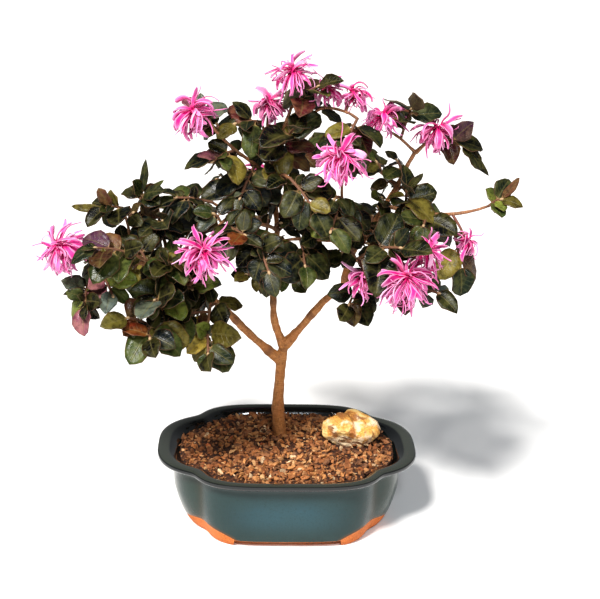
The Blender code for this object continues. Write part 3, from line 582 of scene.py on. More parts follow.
def potCutters():
    # the openings between the feet, which narrow a little upwards, and the two round drainage holes
    openings = []
    for width, depth in potLook["footWindows"]:
        square = np.array([(1, 1), (-1, 1), (-1, -1), (1, -1)]) * (width / 2, depth / 2)
        levels = [(potLook["footHeight"], potLook["windowTop"]), (-potLook["footHeight"], 1.0)]
        openings.append([[(*(corner * scale), height) for corner in square] for height, scale in levels])
    angle = fullTurn(potLook["drainSides"])
    hole = asPoints(np.cos(angle), np.sin(angle), 0.0) * potLook["drainRadius"]
    openings += [[hole + (side * potLook["drainX"], 0, height) for height in potLook["drainSpan"]] for side in (-1, 1)]
    return [makeMesh("cutter", [ringedBody(np.array(rings) + potCentre)], []) for rings in openings]


def buildPot():
    # the inside's rings and then the outside's, skinned over, with the openings cut out
    angles = fullTurn(potLook["points"])
    sizes = potInside + potOutside
    rings = lobedRings(sizes, angles)
    mesh = makeMesh("pot", [ringedBody(rings, marks=potMarks(rings, sizes, angles))], [makeGlaze()])
    tools = [addObject("cutter", cutter) for cutter in potCutters()]
    mesh = finishedMesh(mesh, "BOOLEAN", *[dict(operation="DIFFERENCE", object=tool) for tool in tools])
    for tool in tools:
        bpy.data.objects.remove(tool)
    mesh.shade_smooth()
    mesh.set_sharp_from_angle(angle=math.radians(potLook["sharp"]))
    makePiece("potGlazed", mesh, "pot")
    print("pot:", len(mesh.polygons), "faces")


drainLook = dict(dark=(0.012, 0.013, 0.013), worn=(0.035, 0.036, 0.034))


def finishDrainMesh():
    # black plastic, dusty in spots, on the CAD strip itself
    material, tree = newMaterial("drainPlastic")
    wear = spots(tree, 0.002)
    finishLook(material, mixColours(tree, wear["Mask"], drainLook["dark"], drainLook["worn"]),
               rescale(tree, wear["Height"], 0.2, 0.8, 0.35, 0.65), wear["Height"], 0.0001, 0.3)
    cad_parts["drain_mesh"].material_slots[0].material = material
    print("drain mesh: finished")


soilLook = dict(
    edge=52.2, mound=2.2, inset=0.6, points=192, rings=60, wallDrop=1.6, floorGap=0.4, sharp=32,
    # height, fineness and seed of each size of bump
    bumps=[(1.0, 0.11, 3), (0.7, 0.30, 4), (0.35, 0.8, 5)], bumpLevel=3.7,
    seed=21, chips=3000, smallest=2.0, largest=6.8, sizePower=2.2, chipReach=0.985,
    # chips near the wall are smaller, and darker as painted shade where the soil meets the wall, and none stands in the
    # trunk or the rock
    wallSize=(0.93, 0.7), wallShade=(0.9, 0.75), trunkFoot=(-4.0, 26.0), trunkGap=5.2, chipTop=58.5,
    long=(0.8, 1.5), wide=(0.45, 0.85), thick=(0.28, 0.6), knock=0.22, proud=0.30, toneSpread=(0.7, 1.25),
    bed=(40, 23, 14), bedGrit=(96, 54, 28), bedClod=(36, 22, 16), chipGrit=(96, 56, 34),
    chipPale=(206, 150, 104),
    tones=[((160, 99, 50), 26), ((188, 132, 78), 21), ((126, 75, 38), 22), ((70, 43, 25), 20),
           ((206, 162, 112), 9), ((228, 200, 160), 3), ((184, 98, 52), 1)],
)
rockLook = dict(
    centre=(47.0, 19.0, 62.0), footprint=(19.0, 13.5), sharp=32, seed=5, cuts=15, upright=1.2,
    cutDepth=0.25, cutSpread=(0.5, 1.4), cutShare=0.96, swell=1.4, crumple=[(0.8, 0.26, 8), (0.7, 0.7, 9)],
    grooveDepth=2.0, grooveWidth=2.6, grooveAcross=(0.94, 0.34, 0.0), grooveAt=3.0, grooveFade=8,
    grooveWave=(2.0, 0.12, 11), honey=(226, 174, 90), ochre=(198, 134, 62), cream=(236, 202, 136),
    chalk=(240, 222, 196), pit=(150, 92, 48),
)


def insideSize(height):
    # the ring of the pot's inside at a height, between the rings listed above
    heights, *columns = np.array(potInside, float).T
    return (height, *[float(np.interp(height, heights, column)) for column in columns])


def soilHeight(places, share):
    # edge + mound (1 - share²) + bumps, the share being how far from the middle to the pot's wall
    level = np.concatenate([places, np.full((*places.shape[:-1], 1), soilLook["bumpLevel"])], axis=-1)
    bumps = sum(height * valueNoise(level * fineness, seed) for height, fineness, seed in soilLook["bumps"])
    return soilLook["edge"] + soilLook["mound"] * (1 - share**2) + bumps


def makeSoilLooks():
    # the dark bed between the chips, and the chips, each of its own tint with grit and paler blotches
    bed, tree = newMaterial("soilBed", {"Roughness": 0.95})
    grit = spots(tree, 0.0018)
    clods = spots(tree, 0.008)
    colour = layers(tree, soilLook, "bed", ("bedGrit", grit["Mask"]), ("bedClod", clods["Mask"], 0.5))
    finishLook(bed, colour, None, grit["Height"], 0.0012, 0.9)
    chip, tree = newMaterial("barkChip")
    grit = spots(tree, 0.0009)
    blotch = spots(tree, 0.004)
    colour = layers(tree, soilLook, tintOf(tree), ("chipGrit", grit["Mask"], 0.55), ("chipPale", blotch["Mask"], 0.25))
    finishLook(chip, colour, rescale(tree, grit["Height"], 0.2, 0.8, 0.7, 0.95), grit["Height"], 0.0004, 0.7)
    return [bed, chip]


def plainChip():
    # the twelve corners of a twenty-sided ball, (0, ±1, ±golden) and its turns, and its faces, all facing outwards
    golden = (1 + 5**0.5) / 2
    corners = np.array([(0, s, t * golden) for s in (-1, 1) for t in (-1, 1)])
    corners = np.concatenate([np.roll(corners, k, axis=1) for k in range(3)])
    corners /= np.linalg.norm(corners[0])
    hull = bmesh.new()
    for corner in corners:
        hull.verts.new(corner)
    bmesh.ops.convex_hull(hull, input=hull.verts)
    hull.verts.index_update()
    faces = np.array([[vert.index for vert in face.verts] for face in hull.faces])
    corners = np.array([vert.co[:] for vert in hull.verts])
    hull.free()
    facing = np.cross(corners[faces[:, 1]] - corners[faces[:, 0]], corners[faces[:, 2]] - corners[faces[:, 0]])
    flip = (facing * corners[faces].mean(axis=1)).sum(axis=1) < 0
    faces[flip] = faces[flip][:, ::-1]
    return corners, faces


def randomTurns(draw, count):
    # turns from random quaternions w, x, y, z that lean towards lying flat
    w, x, y, z = unit(draw.normal(0, 1, (count, 4)) * (1, 0.45, 0.45, 1.6)).T
    return np.array([[1 - 2 * (y * y + z * z), 2 * (x * y - w * z), 2 * (x * z + w * y)],
                     [2 * (x * y + w * z), 1 - 2 * (x * x + z * z), 2 * (y * z - w * x)],
                     [2 * (x * z - w * y), 2 * (y * z + w * x), 1 - 2 * (x * x + y * y)]])


def scatterChips(draw):
    # flattened, knocked-about twenty-sided chips over the soil, at random turns, sunk a little into it
    corners, faces = plainChip()
    count = soilLook["chips"]
    angle = draw.uniform(0, 2 * math.pi, count)
    share = np.sqrt(draw.uniform(0, 1, count)) * soilLook["chipReach"]
    wall = lobedRings([insideSize(soilLook["edge"])], angle, soilLook["inset"])[0]
    places = potCentre[:2] + (wall[:, :2] - potCentre[:2]) * share[:, None]
    spread = draw.uniform(0, 1, count) ** soilLook["sizePower"]
    size = soilLook["smallest"] + (soilLook["largest"] - soilLook["smallest"]) * spread
    size *= np.where(share > soilLook["wallSize"][0], soilLook["wallSize"][1], 1.0)
    keep = np.linalg.norm(places - soilLook["trunkFoot"], axis=1) > soilLook["trunkGap"]
    keep &= np.linalg.norm((places - rockLook["centre"][:2]) / rockLook["footprint"], axis=1) > 1
    places, size, share = places[keep], size[keep], share[keep]
    count = len(size)
    squash = np.stack([draw.uniform(*soilLook[key], count) for key in ("long", "wide", "thick")], axis=1)
    knocked = 1 + draw.uniform(-soilLook["knock"], soilLook["knock"], (count, len(corners), 1))
    points = corners[None] * knocked * (squash * size[:, None] / 2)[:, None]
    points = np.einsum("ijn,nkj->nki", randomTurns(draw, count), points)
    lift = soilHeight(places, share) + size * draw.uniform(0.0, soilLook["proud"], count)
    points += np.concatenate([places, lift[:, None]], axis=1)[:, None]
    points[..., 2] = np.minimum(points[..., 2], soilLook["chipTop"])
    tones = np.array([paint(*tone) for tone, _ in soilLook["tones"]])
    weights = np.array([weight for _, weight in soilLook["tones"]], float)
    tint = tones[draw.choice(len(tones), count, p=weights / weights.sum())]
    tint = tint * draw.uniform(*soilLook["toneSpread"], (count, 1))
    # chips near the wall are darkened as painted shade where the soil meets the wall
    tint *= np.where(share > soilLook["wallShade"][0], soilLook["wallShade"][1], 1.0)[:, None]
    allFaces = (faces[None] + (np.arange(count) * len(corners))[:, None, None]).reshape(-1, 3)
    return makePart(points.reshape(-1, 3), [allFaces], 1, tint=np.repeat(tint, len(corners), axis=0))


def buildSoil():
    # the bed: rings from the middle out to the wall, then down to the pot's floor
    angles = fullTurn(soilLook["points"])
    edgeSize = insideSize(soilLook["edge"] - soilLook["wallDrop"])
    shares = np.linspace(0.01, 1.0, soilLook["rings"])
    top = np.concatenate([lobedRings([edgeSize], angles, soilLook["inset"], share) for share in shares])
    top[..., 2] = soilHeight(top[..., :2], shares[:, None])
    floorRing = (potInside[0][0] + soilLook["floorGap"], *potInside[0][1:])
    wall = lobedRings([edgeSize, potInside[2], floorRing], angles, soilLook["inset"])
    chips = scatterChips(np.random.default_rng(soilLook["seed"]))
    mesh = makeMesh("soil", [ringedBody(np.concatenate([top, wall])), chips], makeSoilLooks(), soilLook["sharp"])
    makePiece("barkSoil", mesh, "soil")
    print("soil:", len(mesh.polygons), "faces")


def makeStone():
    # honey stone with ochre grit, cream clouds, chalky patches and brown pits
    material, tree = newMaterial("stone")
    elsewhere = addNode(tree, "VectorMath", {0: objectPlace(tree), 1: (0.4, 0.1, 0.7)}).outputs[0]
    cloud = spots(tree, 0.016, Softness=0.05)
    pits = spots(tree, 0.009, Cover=0.40, Softness=0.05)
    grit = spots(tree, 0.0010)
    chalk = useGroup(tree, speckle, Where=elsewhere, Size=0.013, Cover=0.46, Softness=0.05)
    colour = layers(tree, rockLook, "honey", ("ochre", grit["Mask"]), ("cream", cloud["Mask"]),
                    ("chalk", chalk["Mask"], 0.7), ("pit", pits["Mask"], 0.8))
    height = work(tree, "MULTIPLY_ADD", pits["Mask"], -1.2, grit["Height"])
    return finishLook(material, colour, rescale(tree, grit["Height"], 0.2, 0.8, 0.6, 0.9), height, 0.0008, 0.8)


def buildRock():
    # the CAD stone's own skin, merged and subdivided, then moved out along its normals by
    # swell - crumple - groove, the groove e^-(across / width)² lying between its two humps
    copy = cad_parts["rock"].data.copy()
    shape = bmesh.new()
    shape.from_mesh(copy)
    bmesh.ops.remove_doubles(shape, verts=shape.verts, dist=0.01 * mm)
    shape.to_mesh(copy)
    shape.free()
    fine = finishedMesh(copy, "SUBSURF", dict(levels=2, render_levels=2))
    points, faces = meshArrays(fine, 4)
    normals = fetch(fine.vertex_normals, "vector", 3)
    centre = np.array(rockLook["centre"])
    # broken faces: along each random direction, what stands past a share of the reach is pressed back
    draw = np.random.default_rng(rockLook["seed"])
    for facet in draw.normal(0, 1, (rockLook["cuts"], 3)) * (1, 1, rockLook["upright"]):
        facet = unit(facet)
        reach = (points - centre) @ facet
        over = np.maximum(0, reach - reach.max() * (1 - rockLook["cutDepth"] * draw.uniform(*rockLook["cutSpread"])))
        points = points - facet * over[:, None] * rockLook["cutShare"]
    crumple = sum(np.abs(valueNoise(points * fineness, seed)) * depth for depth, fineness, seed in rockLook["crumple"])
    height, fineness, seed = rockLook["grooveWave"]
    across = (points - centre) @ np.array(rockLook["grooveAcross"]) - rockLook["grooveAt"]
    across = across + height * valueNoise(points * fineness, seed)
    groove = rockLook["grooveDepth"] * np.exp(-(across / rockLook["grooveWidth"]) ** 2)
    groove = groove * np.clip((points[:, 2] - centre[2]) / rockLook["grooveFade"], 0, 1)
    points = points + normals * (rockLook["swell"] - crumple - groove)[:, None]
    mesh = makeMesh("rock", [makePart(points, [faces])], [makeStone()], rockLook["sharp"])
    makePiece("creamStone", mesh, "rock")
    print("rock:", len(mesh.polygons), "faces")


buildPot()
finishDrainMesh()
buildSoil()
buildRock()

# Wood

barkLook = dict(
    step=1.2, sides=12, wave=0.08, waveStep=2.3, rootFlare=0.16, flareHeight=50, flareReach=7,
    collar=0.32, collarReach=3.2, knot=0.13, knotStep=6.5, knotShift=9,
    thickness=0.60, smoothing=5, forth=0.55, back=-0.57,
    # depth, fineness across and along, and seed of each grain in the skin, which thin twigs have less of
    grain=[(0.18, (1.1, 1.1, 0.22), 31), (0.22, (0.4, 0.4, 0.3), 32)], fullGrain=2.2,
    grainRange=(0.35, 1.6), thin=1.1, thickOver=2.0, footTop=74, footOver=26, footShare=0.8,
    grey=(120, 92, 72), tan=(174, 117, 60), brown=(114, 72, 38), pale=(222, 166, 116),
    patch=(164, 100, 58), scar=(92, 58, 40), foot=(150, 98, 58),
)
# Branches that the photo shows a little stouter than the CAD solid has them.
stouter = {"trunk": 1.09, "right_limb": 1.09, "right_leader": 1.3, "right_top": 1.2}
# Branches: name, radius at the start and at the tip, then the points of the middle line, all in mm.
branches = [
    ("trunk", 5.6, 3.2, [(2, 22, 24), (0, 24, 40), (-4, 26, 52), (-6, 26, 66), (-7, 25, 84), (-6, 24, 104),
                         (-5, 23, 122), (-3, 22, 136)]),
    ("left_limb", 3.4, 1.5, [(-5, 23, 120), (-16, 20, 131), (-26, 15, 142), (-36, 10, 154), (-47, 5, 168),
                             (-59, 0, 181), (-73, -6, 196), (-90, -12, 207), (-110, -15, 213),
                             (-130, -18, 218), (-146, -20, 224)]),
    ("left_low", 1.5, 1.1, [(-73, -6, 196), (-84, -22, 190), (-95, -36, 183), (-102, -45, 176)]),
    ("left_drop", 1.3, 1.0, [(-59, 0, 181), (-60, -14, 175), (-61, -25, 166)]),
    ("left_rise", 1.5, 1.0, [(-110, -15, 213), (-116, -12, 225), (-119, -12, 241), (-122, -14, 254)]),
    ("left_front", 1.5, 1.0, [(-90, -12, 207), (-102, -35, 220), (-110, -52, 231)]),
    ("left_upper_front", 1.4, 1.0, [(-73, -6, 196), (-76, -22, 207), (-78, -32, 214)]),
    ("left_upper_back", 1.5, 1.0, [(-90, -12, 207), (-93, 5, 220), (-98, 20, 231), (-100, 30, 242)]),
    ("left_tip_low", 1.3, 1.0, [(-130, -18, 218), (-138, -25, 209), (-147, -30, 201)]),
    ("left_back", 1.7, 1.1, [(-59, 0, 181), (-73, 35, 179), (-94, 60, 178)]),
    ("left_middle_back", 1.4, 1.0, [(-110, -15, 213), (-118, 5, 207), (-126, 25, 200)]),
    ("leader", 3.0, 1.2, [(-3, 22, 132), (-10, 24, 150), (-12, 26, 166), (-12, 28, 186), (-11, 28, 206),
                          (-10, 26, 227), (-12, 24, 247), (-14, 20, 267), (-12, 14, 287), (-7, 8, 307),
                          (-2, 2, 325), (0, -2, 337)]),
    ("leader_left", 1.6, 1.0, [(-11, 27, 218), (-27, 18, 230), (-44, 6, 244), (-58, -4, 256)]),
    ("leader_left_front", 1.3, 1.0, [(-44, 6, 244), (-52, -24, 245), (-59, -48, 240)]),
    ("leader_high_left", 1.5, 1.0, [(-14, 20, 267), (-27, 14, 280), (-42, 6, 293), (-55, 0, 307),
                                    (-61, -4, 318)]),
    ("leader_stub", 1.2, 0.9, [(-12, 14, 287), (-19, 16, 300), (-23, 14, 312)]),
    ("leader_back_left", 1.6, 1.0, [(-12, 24, 247), (-22, 50, 247), (-35, 75, 248)]),
    ("leader_back", 1.5, 1.0, [(-14, 20, 267), (-4, 48, 272), (8, 70, 278)]),
    ("leader_front", 1.5, 1.0, [(-10, 26, 227), (-22, -5, 240), (-29, -32, 242)]),
    ("leader_front_high", 1.4, 1.0, [(-14, 20, 267), (-8, -15, 280), (-3, -40, 284)]),
    ("leader_cross", 1.2, 0.9, [(-11, 27, 217), (7, 12, 224), (31, 0, 226)]),
    ("leader_right", 1.2, 0.9, [(-7, 8, 307), (8, 5, 317), (22, 2, 325), (36, -10, 325), (44, -18, 322)]),
    ("right_limb", 3.1, 2.2, [(-3, 22, 134), (3, 22, 141), (11, 22, 151), (20, 21, 163), (29, 20, 174),
                              (39, 19, 182), (43, 18, 189)]),
    ("right_low", 1.6, 1.0, [(43, 18, 187), (53, 8, 190), (65, -8, 199), (75, -25, 211), (83, -35, 222)]),
    ("right_leader", 2.2, 1.2, [(43, 18, 187), (44, 20, 200), (49, 22, 213), (58, 24, 223), (64, 25, 234),
                                (71, 26, 247), (80, 27, 262), (87, 26, 279), (92, 25, 289)]),
    ("right_top_left", 1.2, 0.9, [(92, 25, 288), (80, 22, 299), (70, 18, 306)]),
    ("right_top", 1.2, 0.9, [(92, 25, 288), (100, 22, 297), (105, 18, 302)]),
    ("right_out", 1.6, 1.0, [(71, 26, 247), (86, 18, 245), (102, 10, 245), (119, 4, 247), (134, 0, 251),
                             (144, -2, 255)]),
    ("right_out_low", 1.2, 0.9, [(102, 10, 245), (112, 4, 239), (121, -2, 232)]),
    ("right_inner", 1.4, 1.0, [(58, 24, 223), (44, 0, 243), (35, -25, 265), (33, -42, 285)]),
    ("right_back", 1.6, 1.0, [(64, 25, 234), (76, 60, 224), (91, 85, 218)]),
    ("right_back_high", 1.5, 1.0, [(80, 27, 262), (69, 50, 267), (55, 70, 273)]),
    ("right_front", 1.4, 1.0, [(44, 20, 200), (49, -15, 218), (56, -40, 232)]),
]


def makeBark():
    # marks hold the place on the branch for the grain; tint is how thick it is, how near the soil and a knot
    material, tree = newMaterial("bark")
    grain = useGroup(tree, barkGrain, Size=1.0)
    patch = spots(tree, 0.009)
    crack = spots(tree, 0.0035, Cover=0.34, Softness=0.06)
    thick, foot, knot = addNode(tree, "SeparateColor", {0: tintOf(tree)}).outputs
    colour = layers(tree, barkLook, "grey", ("tan", thick), ("brown", grain["Ridge"], 0.45),
                    ("pale", grain["Ring"], 0.30), ("patch", patch["Mask"], 0.35), ("scar", knot, 0.6),
                    ("scar", crack["Mask"], 0.45), ("foot", foot, 0.5))
    roughness = rescale(tree, grain["Height"], 0.4, 1.1, 0.55, 0.85)
    return finishLook(material, colour, roughness, grain["Height"], 0.0006, 0.8)


def branchSkeleton():
    # each branch's finer path and radii, how far along each point lies, and the knots: it thins evenly and waves
    # slowly, widens by e^-(reach / collar)² at its fork, and the trunk by e^-((z - height) / reach)² over its root
    skeleton = []
    for name, start, tip, points in branches:
        path, places = curveThrough(points, barkLook["step"])
        steps = np.arange(len(points))
        drawn = start + (tip - start) * steps / (len(points) - 1)
        drawn = drawn + barkLook["wave"] * start * np.sin(barkLook["waveStep"] * steps)
        radii = np.interp(places, steps, drawn) * stouter.get(name, 1.0)
        reach = pathReach(path)
        knots = np.zeros(len(path))
        if name == "trunk":
            aboveFlare = (path[:, 2] - barkLook["flareHeight"]) / barkLook["flareReach"]
            radii *= 1 + barkLook["rootFlare"] * np.exp(-(aboveFlare ** 2))
        else:
            radii *= 1 + barkLook["collar"] * np.exp(-(reach / (barkLook["collarReach"] * start)) ** 2)
            knots = np.maximum(0, np.sin(reach / barkLook["knotStep"] + start * barkLook["knotShift"])) ** 10
            radii *= 1 + barkLook["knot"] * knots
        skeleton.append((path, radii, reach, knots))
    return skeleton


def mergedTubes(skeleton):
    # tubes along every branch, merged into one skin and evened out: each point goes a share of the way to its
    # neighbours' middle, then a slightly larger share back, so that nothing thins
    tubes = [ringedBody(tubeRings(path, radii, barkLook["sides"])) for path, radii, *_ in skeleton]
    oneSkin = dict(mode="VOXEL", voxel_size=barkLook["thickness"] * mm)
    points, faces = meshArrays(finishedMesh(makeMesh("tubes", tubes, []), "REMESH", oneSkin), 4)
    edges = np.sort(np.concatenate([faces[:, [i, (i + 1) % 4]] for i in range(4)]), axis=1)
    edges = np.unique(edges, axis=0)
    degree = np.bincount(edges.ravel(), minlength=len(points))[:, None]
    for share in (barkLook["forth"], barkLook["back"]) * barkLook["smoothing"]:
        total = np.zeros_like(points)
        for axis in range(3):
            total[:, axis] = (np.bincount(edges[:, 0], points[edges[:, 1], axis], len(points))
                              + np.bincount(edges[:, 1], points[edges[:, 0], axis], len(points)))
        points = points + (total / degree - points) * share
    return points, faces


def nearestPlace(points, middle, radius):
    # for each point, the place on the skeleton whose round section it lies nearest to, a few thousand at a time
    nearest, batch = np.empty(len(points), int), 4000
    for start in range(0, len(points), batch):
        gap = np.linalg.norm(points[start:start + batch, None] - middle[None], axis=2) - radius
        nearest[start:start + batch] = gap.argmin(axis=1)
    return nearest


def buildWood():
    # the merged skin, roughened along the grain, with its place on the branch as marks and its age as tint
    skeleton = branchSkeleton()
    points, faces = mergedTubes(skeleton)
    middle, radius, reach, knots = (np.concatenate(values) for values in zip(*skeleton))
    frames = np.concatenate([np.stack(pathFrame(path), axis=1) for path, *_ in skeleton])
    nearest = nearestPlace(points, middle, radius)
    offset, radius = points - middle[nearest], radius[nearest]
    local = np.einsum("ij,ikj->ik", offset, frames[nearest])
    marks = np.stack([local[:, 1], local[:, 2], reach[nearest] + local[:, 0]], axis=1)
    outward = unit(offset - frames[nearest, 0] * local[:, :1])
    rough = sum(depth * valueNoise(marks * fineness, seed) for depth, fineness, seed in barkLook["grain"])
    points = points + outward * (rough * np.clip(radius / barkLook["fullGrain"], *barkLook["grainRange"]))[:, None]
    thick = np.clip((radius - barkLook["thin"]) / barkLook["thickOver"], 0, 1)
    foot = np.clip((barkLook["footTop"] - points[:, 2]) / barkLook["footOver"], 0, 1) * barkLook["footShare"]
    tint = np.stack([thick, foot, knots[nearest]], axis=1)
    mesh = makeMesh("wood", [makePart(points, [faces], tint=tint, marks=marks)], [makeBark()])
    makePiece("barkedWood", mesh, "wood")
    print("wood:", len(mesh.polygons), "faces")


buildWood()

# Sprays and blooms

# Leafy sprays: name, branch point the twig leaves, its end, number of solid leaves, length of a leaf, in mm.
sprays = [
    ("spray_left_tip", (-130, -18, 218), (-148, 2, 202), 5, 25),
    ("spray_left_tip_low", (-147, -30, 201), (-148, -47, 190), 5, 24),
    ("spray_left_front", (-110, -52, 231), (-136, -65, 240), 6, 26),
    ("spray_left_rise", (-122, -14, 254), (-134, -24, 256), 4, 22),
    ("spray_left_top", (-119, -12, 241), (-108, -8, 262), 4, 22),
    ("spray_left_heart", (-98, 20, 231), (-93, -22, 247), 5, 30),
    ("spray_left_inner", (-90, -12, 207), (-72, 6, 236), 6, 26),
    ("spray_left_low", (-102, -45, 176), (-100, -66, 174), 6, 28),
    ("spray_left_low_front", (-84, -22, 190), (-97, -56, 199), 5, 28),
    ("spray_left_drop", (-61, -25, 166), (-60, -46, 154), 6, 26),
    ("spray_left_fork", (-60, -14, 175), (-84, -34, 178), 6, 27),
    ("spray_left_upper_front", (-78, -32, 214), (-88, -48, 224), 5, 26),
    ("spray_left_back", (-94, 60, 178), (-123, 91, 181), 5, 29),
    ("spray_left_middle_back", (-126, 25, 200), (-147, 47, 197), 5, 28),
    ("spray_middle_left", (-58, -4, 256), (-84, -14, 262), 6, 25),
    ("spray_middle_left_front", (-52, -24, 245), (-34, -45, 244), 5, 25),
    ("spray_upper_left", (-42, 6, 293), (-58, -12, 288), 5, 25),
    ("spray_leader_left", (-27, 14, 280), (-38, -14, 262), 6, 26),
    ("spray_high_left", (-55, 0, 307), (-68, 8, 322), 5, 24),
    ("spray_high_middle", (-23, 14, 312), (-42, 6, 312), 5, 25),
    ("spray_crown", (-2, 2, 325), (16, -12, 343), 6, 25),
    ("spray_crown_front", (-12, 14, 287), (0, -22, 316), 5, 30),
    ("spray_centre_front", (-3, -40, 284), (14, -52, 264), 6, 26),
    ("spray_centre_low", (-29, -32, 242), (-17, -58, 221), 6, 26),
    ("spray_back_left", (-35, 75, 248), (-58, 105, 245), 5, 29),
    ("spray_back", (8, 70, 278), (21, 104, 281), 5, 28),
    ("spray_upper_right", (44, -18, 322), (34, -36, 304), 6, 28),
    ("spray_high_right", (80, 22, 299), (85, 9, 324), 5, 26),
    ("spray_right_top", (105, 18, 302), (124, 13, 297), 5, 25),
    ("spray_right_tip", (144, -2, 255), (152, -8, 262), 5, 19),
    ("spray_right_shoulder", (86, 18, 245), (83, -3, 267), 5, 26),
    ("spray_right_heart", (102, 10, 245), (94, -24, 246), 6, 26),
    ("spray_right_hang", (121, -2, 232), (125, -11, 211), 4, 25),
    ("spray_right_front", (56, -40, 232), (74, -58, 240), 6, 32),
    ("spray_right_low_inner", (53, 8, 190), (43, -18, 183), 4, 22),
    ("spray_right_low", (65, -8, 199), (104, -50, 204), 5, 28),
    ("spray_right_back", (91, 85, 218), (117, 112, 218), 5, 29),
    ("spray_right_back_high", (55, 70, 273), (41, 104, 272), 5, 28),
    ("spray_right_inner", (35, -25, 265), (25, -58, 251), 5, 26),
    ("spray_cross", (7, 12, 224), (10, -16, 212), 5, 27),
]
# Blooms: name, branch point the stalk leaves, middle of the tuft, solid petals, length of a petal, in mm.
blooms = [
    ("bloom_crown", (0, -2, 337), (-1, -8, 352), 8, 20),
    ("bloom_upper_left", (-61, -4, 318), (-71, -9, 322), 12, 21),
    ("bloom_high_middle", (-19, 16, 300), (-18, 2, 327), 8, 17),
    ("bloom_crown_right", (22, 2, 325), (22, -4, 340), 6, 16),
    ("bloom_upper_right", (36, -10, 325), (42, -4, 336), 7, 16),
    ("bloom_right_high", (70, 18, 306), (65, 12, 317), 8, 19),
    ("bloom_right_top", (100, 22, 297), (105, 14, 308), 8, 21),
    ("bloom_centre", (33, -42, 285), (30, -57, 303), 14, 23),
    ("bloom_left_tip", (-146, -20, 224), (-165, -33, 229), 13, 22),
    ("bloom_middle_left", (-59, -48, 240), (-63, -67, 238), 14, 24),
    ("bloom_right_big", (75, -25, 211), (79, -57, 216), 18, 25),
    ("bloom_right_upright", (83, -35, 222), (95, -44, 232), 6, 20),
    ("bloom_right_inner", (49, -15, 218), (52, -40, 212), 5, 19),
    ("bloom_right_out", (119, 4, 247), (129, -8, 229), 5, 15),
    ("bloom_back", (-22, 50, 247), (-16, 84, 256), 8, 22),
]

growLook = dict(
    seed=11, crownCentre=(-10, 15, 240), twigRadius=1.1, twigTip=0.85, twigBow=2.5, rimPoints=12,
    startStep=0.1, seatGap=0.3, clear=0.3, rootShare=0.25, bladeThick=0.7, tries=14, strapTries=4,
    turnFirst=4, turnMore=3.5, shrinkStep=0.03,
    leafWidth=0.64, leafFirst=0.20, leafLast=0.86, endLeaf=0.94, endSize=0.85, leafSize=(0.78, 1.15),
    # a leaf faces up, to the front and outwards in these parts, and spreads so many degrees from its twig
    leafFacing=(0.75, 0.5, 0.35), facingSpread=(0.22, 0.22, 0.12), leafSpread=(68, 22, 10),
    droop=(0.1, 0.5), petalWidth=3.2, petalSize=(0.75, 1.1), petalCurl=(0.05, 0.38), petalPolar=(12, 98),
    tuftLean=(1.0, 0.3, 0.3), petalFacing=(0.8, 0.5), petalSideways=(-0.5, 0.5), petalWidths=(0.7, 1.1),
    petalSag=0.7, petalHook=(-0.9, 1.1),
)
# Extra leaves stand anywhere along the twig and all round it, and more loosely than the first ones; shade darkens them
# a little as painted shade inside the crown.
extraLook = dict(places=(0.05, 1.0), loose=2.4, spread=(25, 115), around=(-1.2, 1.2), size=(0.6, 0.95), tries=30,
                 shade=0.85)
# The straps of a tuft: how it leans out, up and to the front, how wide it opens, and how each strap varies.
mopLook = dict(
    lean=(0.5, 0.45, 0.4), polar=(6, 112), polarSpread=14, turnSpread=0.4, facing=(1.0, 0.25),
    facingSpread=(0.45, 0.45, 0.3), width=(0.8, 1.25), rootSpread=1.6, frontEvery=4, frontRoot=(5, 2),
    frontLean=(0.8, 0.4, 0.8), frontBend=0.5,
)
# Kinds of strap: width, lengths as shares, how far it bends and its tip hooks (radians), and how often.
strapKinds = [(4.4, (0.62, 0.95), (1.0, 2.1), (-0.4, 0.6), 30), (2.6, (0.75, 1.10), (0.8, 2.1), (-0.9, 0.9), 24),
              (1.2, (0.75, 1.20), (0.8, 2.3), (-2.6, 1.8), 32), (3.0, (0.40, 0.62), (0.3, 1.4), (-0.3, 0.6), 14)]
leafOutline = np.array([(0, 0, 0), (-0.46, 0.30, 0.10), (-0.42, 0.68, 0.06), (0, 1, 0), (0.42, 0.68, 0.06),
                        (0.46, 0.30, 0.10), (0, 0.50, 0)])
leafSkin = np.array([(0, 5, 1), (1, 5, 6), (1, 6, 2), (2, 6, 3), (3, 6, 4), (4, 6, 5)])
petalSkin = np.array([(0, 2, 1), (1, 2, 4), (1, 4, 3)])


def leafSheet(length, root):
    # a folded leaf's outline in mm, across, along and up, whose tip drops by a share of its length
    width = length * growLook["leafWidth"]
    points = leafOutline * (width, length, width)
    points[0, 1], points[3, 2] = root * length, -leafLook["tipDrop"] * length
    return points, leafSkin


def petalSheet(width, place, root):
    # a petal's places at the root, half-way and the tip, where place(t) says how far along and up its middle lies
    points = [(0, *place(root))]
    for share, half in ((0.5, 0.5), (1.0, 0.4)):
        points += [(side * half * width, *place(share)) for side in (-1, 1)]
    return np.array(points), petalSkin


def bladeFrame(direction, facing):
    # rows are across, along and up, so that a sheet's points times this lie in place
    along = direction.normalized()
    across = along.cross(facing).normalized()
    return np.array([across, along, across.cross(along)])


def skinTree(points, faces, thick):
    # the closed skin of a sheet of this thickness, for finding what it would touch
    corners = points[faces]
    facing = np.cross(corners[:, 1] - corners[:, 0], corners[:, 2] - corners[:, 0])
    normals = np.zeros_like(points)
    np.add.at(normals, faces.ravel(), np.repeat(facing, 3, axis=0))
    normals *= thick / 2 / np.linalg.norm(normals, axis=1, keepdims=True)
    count = len(points)
    edges = [tuple(edge) for face in faces.tolist() for edge in zip(face, face[1:] + face[:1])]
    a, b = np.array([edge for edge in edges if edge[::-1] not in edges]).T
    rim = [np.stack([b, a, a + count], axis=1), np.stack([b, a + count, b + count], axis=1)]
    skin = np.concatenate([faces, faces[:, ::-1] + count, *rim])
    return BVHTree.FromPolygons(np.concatenate([points + normals, points - normals]).tolist(), skin.tolist())


